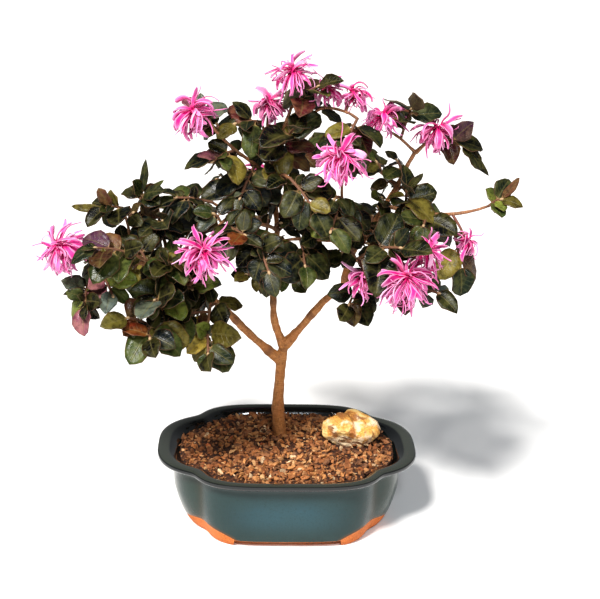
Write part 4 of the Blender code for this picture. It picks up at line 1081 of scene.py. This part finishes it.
class Clearance:
    # everything placed so far, to keep a new blade out of it; a blade may touch its own piece near its root

    def __init__(self):
        self.placed, self.middles, self.reaches = [], np.zeros((0, 3)), np.zeros(0)

    def sphere(self, points):
        # a ball round the points, as its middle and radius
        middle = points.mean(axis=0)
        return middle, float(np.linalg.norm(points - middle, axis=1).max()) + 1

    def add(self, node, whole, outer, points):
        # whole is the skin of all of it, outer the skin past its root
        middle, reach = self.sphere(points)
        self.placed.append((node, whole, outer))
        self.middles = np.concatenate([self.middles, middle[None]])
        self.reaches = np.append(self.reaches, reach)

    def free(self, node, whole, outer, points, ownToo=True):
        # whether nothing placed is touched; with ownToo, nothing of its own piece either, past the root
        middle, reach = self.sphere(points)
        near = np.linalg.norm(self.middles - middle, axis=1) <= reach + self.reaches
        for index in np.flatnonzero(near):
            other, otherWhole, otherOuter = self.placed[index]
            if other == node:
                if ownToo and outer.overlap(otherOuter):
                    return False
            elif whole.overlap(otherWhole):
                return False
        return True


def outside(tree, point, gap):
    # whether a point lies outside a closed skin, more than the gap from it
    nearest, normal, _, distance = tree.find_nearest(point)
    return distance > gap and (point - nearest).dot(normal) > 0


def twigStart(base, end, woodTree):
    # the first point out from the branch's middle where the twig's round end is clear of the wood
    toward = (end - base).normalized()
    spoke = toward.orthogonal().normalized() * growLook["twigRadius"]
    count = growLook["rimPoints"]
    rim = [Matrix.Rotation(2 * math.pi * k / count, 3, toward) @ spoke for k in range(count)]
    start = base.copy()
    while not all(outside(woodTree, start + point, growLook["seatGap"]) for point in rim):
        start += toward * growLook["startStep"]
    return start


def twigPath(base, end, woodTree):
    # a shallow arch: start (1 - t)² + raised middle 2 t (1 - t) + end t², at three places
    start = twigStart(base, end, woodTree)
    middle = (start + end) / 2 + up * growLook["twigBow"]
    return [start * (1 - t) ** 2 + middle * 2 * t * (1 - t) + end * t**2 for t in (0, 0.5, 1)]


def twigTree(path):
    # the twig's square-sided solid, as the clearance sees it
    points = np.array(path)
    along = unit(np.gradient(points, axis=0))
    side = unit(np.cross(along, (0, 0, 1)))
    rise = np.cross(side, along)
    radii = np.linspace(growLook["twigRadius"], growLook["twigTip"], len(points))[:, None, None]
    angle = (np.arange(4)[:, None] + 0.5) * (math.pi / 2)
    body = ringedBody(points[:, None] + (side[:, None] * np.cos(angle) + rise[:, None] * np.sin(angle)) * radii)
    faces = [face for group in body["faces"] for face in group.tolist()]
    return BVHTree.FromPolygons(body["points"].tolist(), faces), body["points"]


def weighted(weights, *vectors):
    # the sum of the vectors, each times its weight
    return sum((vector * weight for vector, weight in zip(vectors, weights)), Vector())


def scattered(draw, spread):
    # a random vector whose three numbers spread so widely round 0
    return Vector([draw.gauss(0, reach) for reach in spread])


def seededDraw(*names):
    # the same random numbers each time for the same names
    return random.Random(" ".join(map(str, (growLook["seed"], *names))))


def randomTurn(draw, most):
    # a turn of up to so many degrees about a random axis
    axis = scattered(draw, (1, 1, 1))
    return Matrix.Rotation(math.radians(draw.uniform(-most, most)), 3, axis)


def tryBlade(node, clearance, sheet, size, root, direction, facing, draw, tries, ownToo=True):
    # the first of a few turned and shortened tries of a sheet that touches nothing, with its root, frame and length
    thick = growLook["bladeThick"] + 2 * growLook["clear"]
    for attempt in range(tries):
        turn = randomTurn(draw, growLook["turnFirst"] + growLook["turnMore"] * attempt)
        length = size * (1 - growLook["shrinkStep"] * attempt)
        axes = bladeFrame(turn @ direction, turn @ facing)
        points, faces = sheet(length, 0.0)
        points = points @ axes + np.array(root)
        outerPoints = sheet(length, growLook["rootShare"])[0] @ axes + np.array(root)
        whole, outer = skinTree(points, faces, thick), skinTree(outerPoints, faces, thick)
        if clearance.free(node, whole, outer, points, ownToo):
            clearance.add(node, whole, outer, points)
            return dict(root=np.array(root), axes=axes, length=length, draw=draw)
    return None


def twigPoint(path, along):
    # the point at a share along a twig, and the direction there
    step = min(int(along * (len(path) - 1)), len(path) - 2)
    root = path[step].lerp(path[step + 1], along * (len(path) - 1) - step)
    return root, (path[step + 1] - path[step]).normalized()


def growLeaves(name, path, count, length, clearance, extra=False):
    # leaves alternate along the twig and one ends it; extra ones stand between and behind them
    outward = (path[-1] - Vector(growLook["crownCentre"])).normalized()
    first, last = growLook["leafFirst"], growLook["leafLast"]
    leaves = []
    for k in range(count):
        draw = seededDraw(name, k, "extra") if extra else seededDraw(name, k)
        ends = k == count - 1 and not extra
        if extra:
            along = draw.uniform(*extraLook["places"])
        else:
            along = growLook["endLeaf"] if ends else first + (last - first) * k / (count - 1)
        root, forward = twigPoint(path, along)
        facing = weighted(growLook["leafFacing"], up, front, outward)
        facing += scattered(draw, growLook["facingSpread"]) * (extraLook["loose"] if extra else 1.0)
        side = forward.cross(facing).normalized() * (1 if k % 2 else -1)
        widest, less, either = growLook["leafSpread"]
        spread = 0.0 if ends else math.radians(widest - less * along + draw.uniform(-either, either))
        if extra:
            spread = math.radians(draw.uniform(*extraLook["spread"]))
            side = Matrix.Rotation(draw.uniform(*extraLook["around"]), 3, forward) @ side
        direction = forward * math.cos(spread) + side * math.sin(spread) - up * draw.uniform(*growLook["droop"])
        size = length * draw.uniform(*growLook["leafSize"]) * (growLook["endSize"] if ends else 1.0)
        size *= draw.uniform(*extraLook["size"]) if extra else 1.0
        tries = extraLook["tries"] if extra else growLook["tries"]
        blade = tryBlade(name, clearance, leafSheet, size, root, direction, facing, draw, tries)
        if blade:
            leaves.append(dict(blade, extra=extra))
    return leaves


def tuftDirection(axis, polar, turn):
    # sideways = first cos turn + second sin turn, square to the axis, and axis cos polar + sideways sin polar
    first = axis.orthogonal().normalized()
    sideways = first * math.cos(turn) + axis.cross(first) * math.sin(turn)
    return axis * math.cos(polar) + sideways * math.sin(polar), sideways


def growPetals(name, base, centre, count, length, clearance):
    # petals stand out of the core round its free side, at even steps of the golden angle, and arch over
    axis = weighted(growLook["tuftLean"], (centre - base).normalized(), up, front).normalized()
    least, more = growLook["petalPolar"]
    petals = []
    for k in range(count):
        draw = seededDraw(name, k)
        polar = math.radians(least + more * math.sqrt((k + 0.5) / count))
        direction, sideways = tuftDirection(axis, polar, k * goldenAngle)
        weights = (*growLook["petalFacing"], draw.uniform(*growLook["petalSideways"]))
        facing = weighted(weights, axis, up, sideways).normalized()
        size = length * draw.uniform(*growLook["petalSize"])
        curl = draw.uniform(*growLook["petalCurl"])

        def sheet(length, root, curl=curl):
            # it drops by curl length t² at the share t
            return petalSheet(growLook["petalWidth"], lambda t: (t * length, -curl * length * t**2), root)

        blade = tryBlade(name, clearance, sheet, size, centre, direction, facing, draw, growLook["tries"])
        if blade:
            width = growLook["petalWidth"] * draw.uniform(*growLook["petalWidths"])
            petals.append(dict(blade, width=width, bend=2 * curl + growLook["petalSag"],
                               hook=draw.uniform(*growLook["petalHook"])))
    return petals


def growStraps(name, base, centre, count, length, clearance):
    # the rest of the mop: straps all round the core that arch over under their weight, some of them curling up
    axis = weighted(mopLook["lean"], (centre - base).normalized(), up, front).normalized()
    least, more = mopLook["polar"]
    straps = []
    for k in range(count):
        draw = seededDraw(name, "strap", k)
        width, lengths, bends, hooks, _ = draw.choices(strapKinds, [kind[-1] for kind in strapKinds])[0]
        polar = least + more * math.sqrt((k + 0.5) / count)
        polar = math.radians(polar + draw.uniform(-mopLook["polarSpread"], mopLook["polarSpread"]))
        turn = k * goldenAngle + draw.uniform(-mopLook["turnSpread"], mopLook["turnSpread"])
        direction, sideways = tuftDirection(axis, polar, turn)
        facing = weighted((*mopLook["facing"], 1), up, axis, scattered(draw, mopLook["facingSpread"]))
        size, bend, hook = length * draw.uniform(*lengths), draw.uniform(*bends), draw.uniform(*hooks)
        width *= draw.uniform(*mopLook["width"])
        root = centre + scattered(draw, (1, 1, 1)) * mopLook["rootSpread"]
        if k % mopLook["frontEvery"] == 0:  # one in four springs from the front and hangs over the rest
            root += weighted(mopLook["frontRoot"], front, up)
            direction = weighted(mopLook["frontLean"], front, up, sideways).normalized()
            bend += mopLook["frontBend"]

        def sheet(length, root, width=width, bend=bend):
            # an arc: along length sin(b t) / b, down length (1 - cos(b t)) / b at the share t, for a bend b
            return petalSheet(width, lambda t: (length * math.sin(bend * t) / bend,
                                                length * (math.cos(bend * t) - 1) / bend), root)

        tries = growLook["strapTries"]
        blade = tryBlade(name, clearance, sheet, size, root, direction, facing, draw, tries, ownToo=False)
        if blade:
            straps.append(dict(blade, width=width, bend=bend, hook=hook))
    return straps


leafLook = dict(
    alongShares=(0, 0.10, 0.165, 0.28, 0.44, 0.61, 0.78, 0.91, 1.0), acrossSteps=5, petiole=0.10,
    petioleThick=0.95, thick=0.42, tipDrop=0.12, wave=0.11, edgeWave=0.10, extraLeaves=8,
    # how the leaves vary: brightness, bow, width, sideways lean, fold and how pointed; innerShade darkens the leaves of
    # the inner shoots as painted shade inside the crown, and as the darker green of older inner leaves
    bright=(0.45, 1.25), bow=(-0.08, 0.16), wide=(0.98, 1.28), lean=(-0.14, 0.14), fold=(0.04, 0.40),
    point=(0.5, 0.95), innerShade=0.7, veins=7.0, lift=(0.060, 0.056, 0.012), shadow=(0.20, 0.20, 0.20),
    # lift and shadow on the line above are the colours of the painted highlight patches and painted shade blotches on
    # the leaves
    edge=(96, 62, 44), midrib=(112, 104, 62), under=(120, 112, 92), stalk=(150, 118, 84),
    # twigs with their small nodes, and the bud or cup at their end, whose lumps have a height and a seed
    twig=(118, 82, 60), twigCrack=(84, 54, 38), twigStep=1.6, twigSides=9, nodeSwell=0.10, nodeWave=19,
    bud=(188, 160, 122), budSize=(1.1, 1.9, 1.1), budLumps=(0.1, 3),
    stem=(122, 72, 62), cup=(150, 54, 74), cupSize=(3.0, 3.3, 3.0), cupLumps=(0.25, 5),
)
# Extra leaves of the sprays that the photo shows fuller or barer than the rest.
extraLeaves = {
    "spray_high_right": 2, "spray_right_top": 3, "spray_right_shoulder": 5, "spray_right_heart": 5,
    "spray_right_hang": 2, "spray_right_tip": 2, "spray_upper_right": 4, "spray_right_low": 4,
    "spray_right_low_inner": 2, "spray_cross": 5, "spray_left_low_front": 15, "spray_centre_low": 15,
    "spray_left_tip_low": 22, "spray_left_fork": 14, "spray_left_upper_front": 13, "spray_high_left": 6,
    "spray_centre_front": 5, "spray_right_inner": 4, "spray_right_front": 4, "spray_back": 4,
    "spray_middle_left_front": 6, "spray_right_back_high": 4, "spray_right_back": 5, "spray_left_drop": 6,
}
# the pale grey-green tone among these is a painted reflection of the sky on a glossy leaf
leafTones = {
    "nearBlack": (12, 14, 14), "darkGreen": (27, 35, 25), "green": (55, 66, 34), "fresh": (98, 108, 46),
    "olive": (104, 93, 42), "bronze": (90, 55, 40), "maroon": (86, 32, 40), "rust": (150, 66, 40),
    "mauve": (138, 82, 96), "purple": (74, 40, 62), "silver": (94, 104, 96), "amber": (150, 128, 56),
    "blueBlack": (14, 23, 27),
}
usualTones = [("nearBlack", 27), ("darkGreen", 30), ("green", 18), ("olive", 11), ("bronze", 8), ("silver", 2),
              ("fresh", 4)]
coolTones = [("nearBlack", 22), ("blueBlack", 46), ("darkGreen", 22), ("silver", 4), ("green", 6)]
coolSprays = {"spray_centre_low", "spray_cross", "spray_middle_left_front", "spray_left_heart", "spray_left_inner",
              "spray_back_left", "spray_leader_left", "spray_middle_left"}
innerLook = dict(spacing=19.0, spacingSpread=(0.7, 1.3), twig=(7.0, 15.0), leaves=4, length=(15.0, 21.0),
                 clearOfFork=9.0, clearOfTip=4, lean=(1, 0.5, 0.45))
# Branches that are bare for so many mm from their fork.
bareStart = {"left_limb": 84, "right_limb": 999, "leader": 78, "right_leader": 16, "right_out": 999, "right_top": 999,
             "right_top_left": 999, "right_out_low": 999}
# Small leafy shoots that fill gaps of the outline: name, base, end, length of a leaf, number of leaves.
fillShoots = [
    ("left gap", (-138, -25, 209), (-127, -48, 199), 25, 7),
    ("left low gap", (-102, -45, 176), (-116, -57, 186), 24, 6),
    ("leader low", (-12, 27, 186), (-33, 2, 199), 16, 5), ("single", (-12, 27, 190), (3, 8, 192), 15, 3),
]
# Young and turning leaves that the photo shows, leaves painted near-black as shade, and leaves painted with the sky's
# sheen, by spray and by number of the leaf.
namedTones = {
    "spray_left_low": {0: "olive", 1: "green", 2: "green", 3: "green", 4: "blueBlack", 11: "rust"},
    "left low gap": {1: "rust", 3: "olive"}, "spray_left_low_front": {0: "fresh", 1: "green", 4: "silver"},
    "left gap": {0: "fresh", 1: "mauve", 2: "olive", 3: "green", 4: "silver", 5: "bronze"},
    "spray_left_tip_low": {0: "mauve", 1: "fresh", 2: "mauve", 3: "silver"},
    "spray_left_front": {0: "green", 1: "bronze", 3: "purple", 4: "bronze"},
    "spray_left_tip": {0: "purple", 1: "bronze"}, "spray_left_fork": {0: "amber", 1: "fresh"},
    "spray_left_drop": {0: "olive", 1: "amber", 2: "green", 3: "olive"},
    "spray_middle_left": {0: "silver"}, "spray_middle_left_front": {5: "rust"},
    "spray_high_left": {0: "mauve", 1: "silver", 2: "purple", 3: "mauve"},
    "spray_upper_left": {0: "olive", 1: "mauve", 2: "green", 8: "mauve"},
    "spray_high_middle": {0: "green", 1: "maroon"}, "spray_crown_front": {0: "maroon"},
    "spray_crown": {0: "maroon", 1: "maroon", 2: "bronze"}, "spray_upper_right": {0: "maroon", 1: "olive"},
    "spray_right_tip": {0: "fresh", 1: "green"}, "spray_right_hang": {0: "olive"},
    # this leaf of spray_right_front is painted near-black to look like shade over the bloom behind it
    "spray_right_low": {0: "bronze", 1: "maroon"}, "spray_right_front": {1: "nearBlack"},
    "spray_right_top": {1: "maroon", 6: "purple"},
}
petalLook = dict(
    alongShares=(0, 0.1, 0.2, 0.325, 0.45, 0.575, 0.7, 0.825, 0.925, 1.0), fineSteps=40, thick=0.4,
    # half the width as a share, at places along the strap
    places=(0, 0.12, 0.28, 0.45, 0.62, 0.78, 0.91, 1), halves=(0.3, 0.42, 0.75, 1, 1, 0.9, 0.7, 0.3),
    edgeWave=0.14, gutter=0.26, strapsPerPetal=4.6, strapsAtLeast=26,
    bright=(0.85, 1.1), twist=(-2.1, 2.1), swayLeast=0.03, sway=0.07, thinSway=0.15, thin=2,
    # root is a deep pink that stands in part for shade inside the tuft; pale and tip are painted highlights on the
    # edges and the tip
    root=(206, 16, 112), streak=(222, 44, 140), pale=(242, 186, 216), tip=(242, 174, 212),
    tones=[((226, 90, 166), 26), ((236, 126, 190), 20), ((216, 56, 142), 20), ((244, 186, 218), 12),
           ((198, 22, 114), 14), ((138, 20, 88), 8)],
)
# Blooms that the photo shows duller and browner, being older.
oldBlooms = {
    "bloom_high_middle": (0.62, 0.42, 0.50), "bloom_crown_right": (0.75, 0.55, 0.62),
    "bloom_upper_right": (0.80, 0.62, 0.68), "bloom_right_top": (0.80, 0.72, 0.70),
    "bloom_back": (0.7, 0.5, 0.6),
}
# Blooms that the photo shows fuller than the rest.
fullBlooms = {"bloom_right_big": 1.5, "bloom_right_upright": 1.6, "bloom_right_inner": 1.6, "bloom_crown": 1.2}
# Slender leaves that stand out of the outline: spray, place along its twig, direction, length, width share.
slenderLeaves = [
    ("spray_left_top", 0.80, (0.12, -0.1, 1.0), 26.0, 0.36),
    ("spray_left_top", 0.95, (1.0, -0.1, 0.75), 19.0, 0.34),
    ("spray_left_rise", 0.90, (-1.0, -0.2, 0.0), 24.0, 0.40),
    ("spray_right_top", 0.95, (0.75, -0.2, -0.65), 32.0, 0.30),
    ("spray_right_tip", 0.90, (0.8, -0.1, 0.9), 21.0, 0.46),
    ("spray_right_shoulder", 0.9, (0.6, -0.2, 0.9), 18.0, 0.5),
]


def gathered(blades, *keys):
    # one array per key, with an entry for each blade
    return (np.array([blade[key] for blade in blades]) for key in keys)


def asColumns(blades, *keys):
    # those arrays shaped to spread over the rows and columns of each blade's sheet
    return (values[:, None, None] for values in gathered(blades, *keys))


def leafSheets(leaves):
    # half width = w / 2 (1 - |2 b^0.85 - 1|^2.2)^p for b along the blade past its stalk, p from 0.5 for a round leaf
    # to 1 for a pointed one; edges fold up, tip drops
    t = np.array(leafLook["alongShares"])[None, :, None]
    s = np.linspace(-1, 1, leafLook["acrossSteps"])[None, None, :]
    length, bow, phase, wide, lean, fold, point = asColumns(leaves, "length", "bow", "phase", "wide", "lean", "fold",
                                                            "point")
    stalk = leafLook["petiole"]
    b = np.clip((t - stalk) / (1 - stalk), 0, 1)
    half = length * growLook["leafWidth"] / 2 * wide * np.clip(1 - np.abs(2 * b**0.85 - 1) ** 2.2, 0, 1) ** point
    half = half * (1 + leafLook["edgeWave"] * np.sin(2 * math.pi * (1.7 * t + phase)) * s)
    half = np.maximum(half, np.where(t > 0.99, 0.05, 0.42))  # the least half width, in mm, at the tip and elsewhere
    across = s * half + lean * length * (t - stalk).clip(0) ** 2
    along = t * length
    rise = fold * half * np.abs(s) ** 1.3 - leafLook["tipDrop"] * length * t**3 - bow * length * t**2
    rise = rise + leafLook["wave"] * half * np.sin(2 * math.pi * (1.9 * t + phase + 0.3 * s)) * s**2
    return asPoints(across, along, rise)


def strapSheets(petals):
    # the middle line turns down by b t + h t³ for a bend b and a hook h, so it is the running sum of that direction;
    # the half width grows from a narrow root and rounds off at the tip, and the strap twists about its middle line
    shares = np.array(petalLook["alongShares"])
    t = shares[None, :, None]
    s = np.array([-1, 0, 1])[None, None, :]
    length, width, phase, twist, bend, sway, hook = asColumns(petals, "length", "width", "phase", "twist", "bend",
                                                              "sway", "hook")
    axes, roots = gathered(petals, "axes", "root")
    across, along, rise = (axes[:, i, None] for i in range(3))
    steps = petalLook["fineSteps"]
    fine = np.linspace(0, 1, steps + 1)[None, :, None]
    turned = bend * fine + hook * fine**3
    ahead = along * np.cos(turned) - rise * np.sin(turned)
    run = np.cumsum((ahead[:, 1:] + ahead[:, :-1]) / 2, axis=1) / steps
    run = np.concatenate([np.zeros_like(run[:, :1]), run], axis=1)[:, np.rint(shares * steps).astype(int)]
    turned = bend * t + hook * t**3
    middle = roots[:, None] + length * run
    middle = middle + across * (sway * length * (np.sin(2 * math.pi * (t + phase)) - np.sin(2 * math.pi * phase)) * t)
    half = width / 2 * np.interp(t, petalLook["places"], petalLook["halves"])
    half = half * (1 + petalLook["edgeWave"] * np.sin(2 * math.pi * (2.3 * t + phase)))
    over = rise * np.cos(turned) + along * np.sin(turned)
    angle = twist * t
    side, over = across * np.cos(angle) + over * np.sin(angle), over * np.cos(angle) - across * np.sin(angle)
    gutter = petalLook["gutter"] * width * s**2
    return middle[:, :, None] + side[:, :, None] * (half * s)[..., None] + over[:, :, None] * gutter[..., None]


def makeLeafLooks():
    # the leaf's upper face, its duller underside with raised veins, both with painted highlight patches and painted
    # shade blotches, and the twig's bark
    looks = []
    for name, roughness in (("leafTop", 0.30), ("leafUnder", 0.55)):
        top = name == "leafTop"
        material, tree = newMaterial(name, {"Specular IOR Level": 0.20})
        veins = useGroup(tree, leafVeins, Veins=leafLook["veins"])
        dapple = spots(tree, 0.009, Softness=0.12)
        blotch = spots(tree, 0.004, Cover=0.42, Softness=0.14)
        fine = spots(tree, 0.0008)
        tint = tintOf(tree)
        # lift brightens the tint in soft patches as painted highlights, and at the veins as their own paler colour;
        # shadow darkens it in blotches as painted shade
        veinAndHighlightTint = mixColours(tree, 1.0, tint, leafLook["lift"], "ADD")
        dark = mixColours(tree, 1.0, tint, leafLook["shadow"], "MULTIPLY")
        colour = layers(tree, leafLook, tint, (veinAndHighlightTint, dapple["Mask"], 0.75), (dark, blotch["Mask"], 0.70))
        if not top:
            colour = layers(tree, leafLook, colour, ("under", 0.30))
        colour = layers(tree, leafLook, colour, (veinAndHighlightTint, veins["Vein"], 0.30), ("midrib", veins["Midrib"], 0.30),
                        ("edge", veins["Rim"], 0.55))
        relief = work(tree, "MULTIPLY_ADD", veins["Vein"], 0.5, veins["Midrib"])
        relief = work(tree, "MULTIPLY_ADD", relief, -1.0 if top else 1.2, work(tree, "MULTIPLY", fine["Height"], 0.8))
        dull = rescale(tree, dapple["Height"], 0.3, 0.7, roughness - 0.06, roughness + 0.1)
        looks.append(finishLook(material, colour, dull, relief, 0.0003, 0.6))
    material, tree = newMaterial("twigBark", {"Roughness": 0.7})
    grain = useGroup(tree, barkGrain, Size=1.4)
    colour = layers(tree, leafLook, tintOf(tree), ("twigCrack", grain["Ridge"], 0.6))
    return [*looks, finishLook(material, colour, None, grain["Height"], 0.0003, 0.6)]


def makePetalLooks():
    # deep pink at the root, in part painted shade deep inside the tuft, the strap's own pink past it, with lengthwise
    # streaks, and pale edges and a pale tip that are painted highlights
    looks = []
    for name, lift in (("petalFace", 0.0), ("petalBack", 0.18)):
        material, tree = newMaterial(name, {"Specular IOR Level": 0.35})
        across, along, aside = alongLeaf(tree)
        fine = spots(tree, 0.0012, Softness=0.2)
        streak = {0: work(tree, "MULTIPLY", across, 7.0), 1: work(tree, "MULTIPLY", along, 1.3), 2: marksOf(tree)[0]}
        streak = addNode(tree, "CombineXYZ", streak).outputs[0]
        lines = addNode(tree, "TexNoise", {"Vector": streak, "Scale": 1.0, "Detail": 2.0}).outputs[0]
        # painted highlights: paler edges past the root, and a paler tip; the back also gets a little of the pale colour
        # all across
        edges = rescale(tree, aside, 0.45, 0.95, lift, 0.5)
        colour = layers(tree, petalLook, "root", (tintOf(tree), rescale(tree, along, 0.08, 0.68)),
                        ("streak", rescale(tree, lines, 0.45, 0.75, 0.0, 0.5)),
                        ("pale", edges, rescale(tree, along, 0.1, 0.5)),
                        ("tip", rescale(tree, along, 0.7, 1.0, 0.0, 0.35)))
        relief = work(tree, "MULTIPLY_ADD", lines, 2.0, fine["Height"])
        dull = rescale(tree, fine["Height"], 0.3, 0.7, 0.42, 0.6)
        looks.append(finishLook(material, colour, dull, relief, 0.0002, 0.5))
    return looks


def pickTone(draw, tones):
    # one of the tones, each as likely as its weight says
    return draw.choices([tone for tone, _ in tones], [weight for _, weight in tones])[0]


def twigBody(path, base, tint, phase=0.0):
    # a smooth tube along the arch, from inside its branch to its end, with nodes where sin^8 (wave share) peaks
    line, _ = curveThrough([np.array(base), *[np.array(point) for point in path]], leafLook["twigStep"])
    share = np.linspace(0, 1, len(line))
    radii = growLook["twigRadius"] + (growLook["twigTip"] - growLook["twigRadius"]) * share
    radii = radii * (1 + leafLook["nodeSwell"] * np.sin(share * leafLook["nodeWave"] + phase) ** 8)
    angle = fullTurn(leafLook["twigSides"])
    thick = radii[:, None]
    grain = asPoints(thick * np.cos(angle), thick * np.sin(angle), pathReach(line)[:, None] + phase * 7)
    return ringedBody(tubeRings(line, radii, len(angle)), 2, paint(*tint), grain.reshape(-1, 3))


def ballBody(path, radii, tint, lumps, seed):
    # a ball of rings at the end of a twig, radius (1 + lumps noise), stretched to its radii along the twig's axes
    polar = np.linspace(0.06, 0.94, 7)[:, None] * math.pi
    angle = fullTurn(8)
    ball = asPoints(np.sin(polar) * np.cos(angle), np.cos(polar), np.sin(polar) * np.sin(angle))
    bumps = 1 + lumps * valueNoise(ball * 2.3 + seed * 3.1, seed)
    rings = (ball * bumps[..., None] * radii) @ bladeFrame(path[-1] - path[-2], up) + np.array(path[-1])
    return ringedBody(rings, 2, paint(*tint))


def sprayParts(name, base, path, leaves, shade=1.0):
    # a twig with its bud and its leaves, each leaf with a tone, a brightness and a shape of its own; shade, and the
    # extra leaves' own shade, darken them as painted shade inside the crown
    named, tones = namedTones.get(name, {}), coolTones if name in coolSprays else usualTones
    for k, leaf in enumerate(leaves):
        draw = leaf["draw"]
        tone = leafTones[named.get(k) or pickTone(draw, tones)]
        # shade and, for the extra leaves, extraLook's shade darken the tint as painted shade inside the crown
        leaf["tint"] = np.array(paint(*tone)) * draw.uniform(*leafLook["bright"]) * shade
        leaf["tint"] = leaf["tint"] * (extraLook["shade"] if leaf.get("extra") else 1)
        leaf.update(bow=draw.uniform(*leafLook["bow"]), phase=draw.random(),
                    wide=leaf.get("wide", draw.uniform(*leafLook["wide"])), lean=draw.uniform(*leafLook["lean"]),
                    fold=draw.uniform(*leafLook["fold"]), point=draw.uniform(*leafLook["point"]))
    axes, roots, tints = gathered(leaves, "axes", "root", "tint")
    sheets = np.einsum("lrcj,ljk->lrck", leafSheets(leaves), axes) + roots[:, None, None]
    thick = np.full((1, len(leafLook["alongShares"]), 1, 1), leafLook["thick"])
    thick[:, :2] = leafLook["petioleThick"]
    marks = np.array([(leaf["phase"], leaf["bow"], 0) for leaf in leaves])
    blades = sheetBodies(sheets, thick, leafLook["alongShares"], tints, marks)
    stalk = blades["uv"][:, 1] < leafLook["petiole"] + 0.01
    blades["tint"] = np.where(stalk[:, None], paint(*leafLook["stalk"]), blades["tint"])
    twig = twigBody(path, base, leafLook["twig"], leaves[0]["phase"])
    return [twig, blades, ballBody(path, leafLook["budSize"], leafLook["bud"], *leafLook["budLumps"])]


def buildBloom(name, base, path, petals, looks):
    # a stalk with its cup and its straps, each strap with a tone, a twist and a sway of its own
    for petal in petals:
        draw = petal["draw"]
        petal["tint"] = np.array(paint(*pickTone(draw, petalLook["tones"]))) * draw.uniform(*petalLook["bright"])
        petal["tint"] = petal["tint"] * oldBlooms.get(name, (1, 1, 1))
        most = petalLook["thinSway"] if petal["width"] < petalLook["thin"] else petalLook["sway"]
        petal.update(phase=draw.random(), twist=draw.uniform(*petalLook["twist"]),
                     sway=draw.uniform(petalLook["swayLeast"], most))
    tints, phases = gathered(petals, "tint", "phase")
    marks = phases[:, None] * (40, 0, 0)  # the streaks of each strap start elsewhere in the noise
    straps = sheetBodies(strapSheets(petals), petalLook["thick"], petalLook["alongShares"], tints, marks)
    stalk = twigBody(path, base, leafLook["stem"])
    cup = ballBody(path, leafLook["cupSize"], leafLook["cup"], *leafLook["cupLumps"])
    makePiece(name.replace("bloom", "fringe"), makeMesh(name, [stalk, cup, straps], looks), name)


def innerTwigs(woodTree):
    # short shoots set along the branches at the golden angle, for the small leaves inside the crown
    shoots = []
    for name, _, _, points in branches[1:]:
        path, _ = curveThrough(points, 1.0)
        along, reach = pathFrame(path)[0], pathReach(path)
        draw = seededDraw(name, "shoots")
        place, count = bareStart.get(name, innerLook["clearOfFork"]), 0
        while place < reach[-1] - innerLook["clearOfTip"]:
            index = int(np.searchsorted(reach, place))
            place += innerLook["spacing"] * draw.uniform(*innerLook["spacingSpread"])
            count += 1
            base, forward = Vector(path[index]), Vector(along[index])
            outward = Matrix.Rotation(count * goldenAngle, 3, forward) @ forward.orthogonal().normalized()
            outward = weighted(innerLook["lean"], outward, forward, up).normalized()
            end = base + outward * draw.uniform(*innerLook["twig"])
            shoots.append((f"{name} shoot {count}", base, end, draw.uniform(*innerLook["length"]), innerLook["leaves"]))
    return shoots


def buildFoliage():
    # twigs, solid petals and solid leaves keep their CAD places; the straps and extra leaves fill in between
    clearance = Clearance()
    points, faces = meshArrays(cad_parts["wood"].data, 3)
    woodTree = BVHTree.FromPolygons(points.tolist(), faces.tolist())
    clearance.add("wood", woodTree, woodTree, points)
    paths, petals, leaves, inner = {}, {}, {}, []
    for name, base, end, *_ in sprays + blooms:
        paths[name] = twigPath(Vector(base), Vector(end), woodTree)
        tree, points = twigTree(paths[name])
        clearance.add(name, tree, tree, points)
    for name, base, centre, count, length in blooms:
        petals[name] = growPetals(name, Vector(base), Vector(centre), count, length, clearance)
    for name, _, _, count, length in sprays:
        leaves[name] = growLeaves(name, paths[name], count, length, clearance)
    print("growing:", sum(map(len, petals.values())), "petals and", sum(map(len, leaves.values())), "leaves in place")
    for name, base, centre, count, length in blooms:
        more = max(petalLook["strapsAtLeast"], round(count * petalLook["strapsPerPetal"] * fullBlooms.get(name, 1.0)))
        petals[name] += growStraps(name, Vector(base), Vector(centre), more, length, clearance)
    for name, place, direction, length, wide in slenderLeaves:
        axes = bladeFrame(Vector(direction), weighted((1, 0.3), front, up))
        leaves[name].append(dict(root=np.array(twigPoint(paths[name], place)[0]), axes=axes, length=length, wide=wide,
                                 draw=seededDraw(name, place, "slender")))
    for name, _, _, _, length in sprays:
        more = extraLeaves.get(name, leafLook["extraLeaves"])
        leaves[name] += growLeaves(name, paths[name], more, length, clearance, extra=True)
    print("growing:", sum(map(len, petals.values())), "petals and", sum(map(len, leaves.values())), "leaves in all")
    shoots = innerTwigs(woodTree) + fillShoots
    for name, base, end, length, count in shoots:
        path = twigPath(Vector(base), Vector(end), woodTree)
        grown = growLeaves(name, path, count, length, clearance)
        if grown:
            # the leaves of the inner shoots are darkened by innerShade as painted shade inside the crown
            inner += sprayParts(name, base, path, grown, leafLook["innerShade"] if "shoot" in name else 1.0)
    leafLooks, petalLooks = makeLeafLooks(), makePetalLooks()
    for name, base, *_ in sprays:
        mesh = makeMesh(name, sprayParts(name, base, paths[name], leaves[name]), leafLooks)
        makePiece(name.replace("spray", "leaves"), mesh, name)
    makePiece("leaves_inner", makeMesh("inner", inner, leafLooks), None)
    print("inner shoots:", len(shoots), "with", sum(len(part["points"]) for part in inner), "points")
    for name, base, *_ in blooms:
        buildBloom(name, base, paths[name], petals[name], [*petalLooks, leafLooks[2]])
    print("foliage:", len(sprays), "sprays and", len(blooms), "blooms")


buildFoliage()
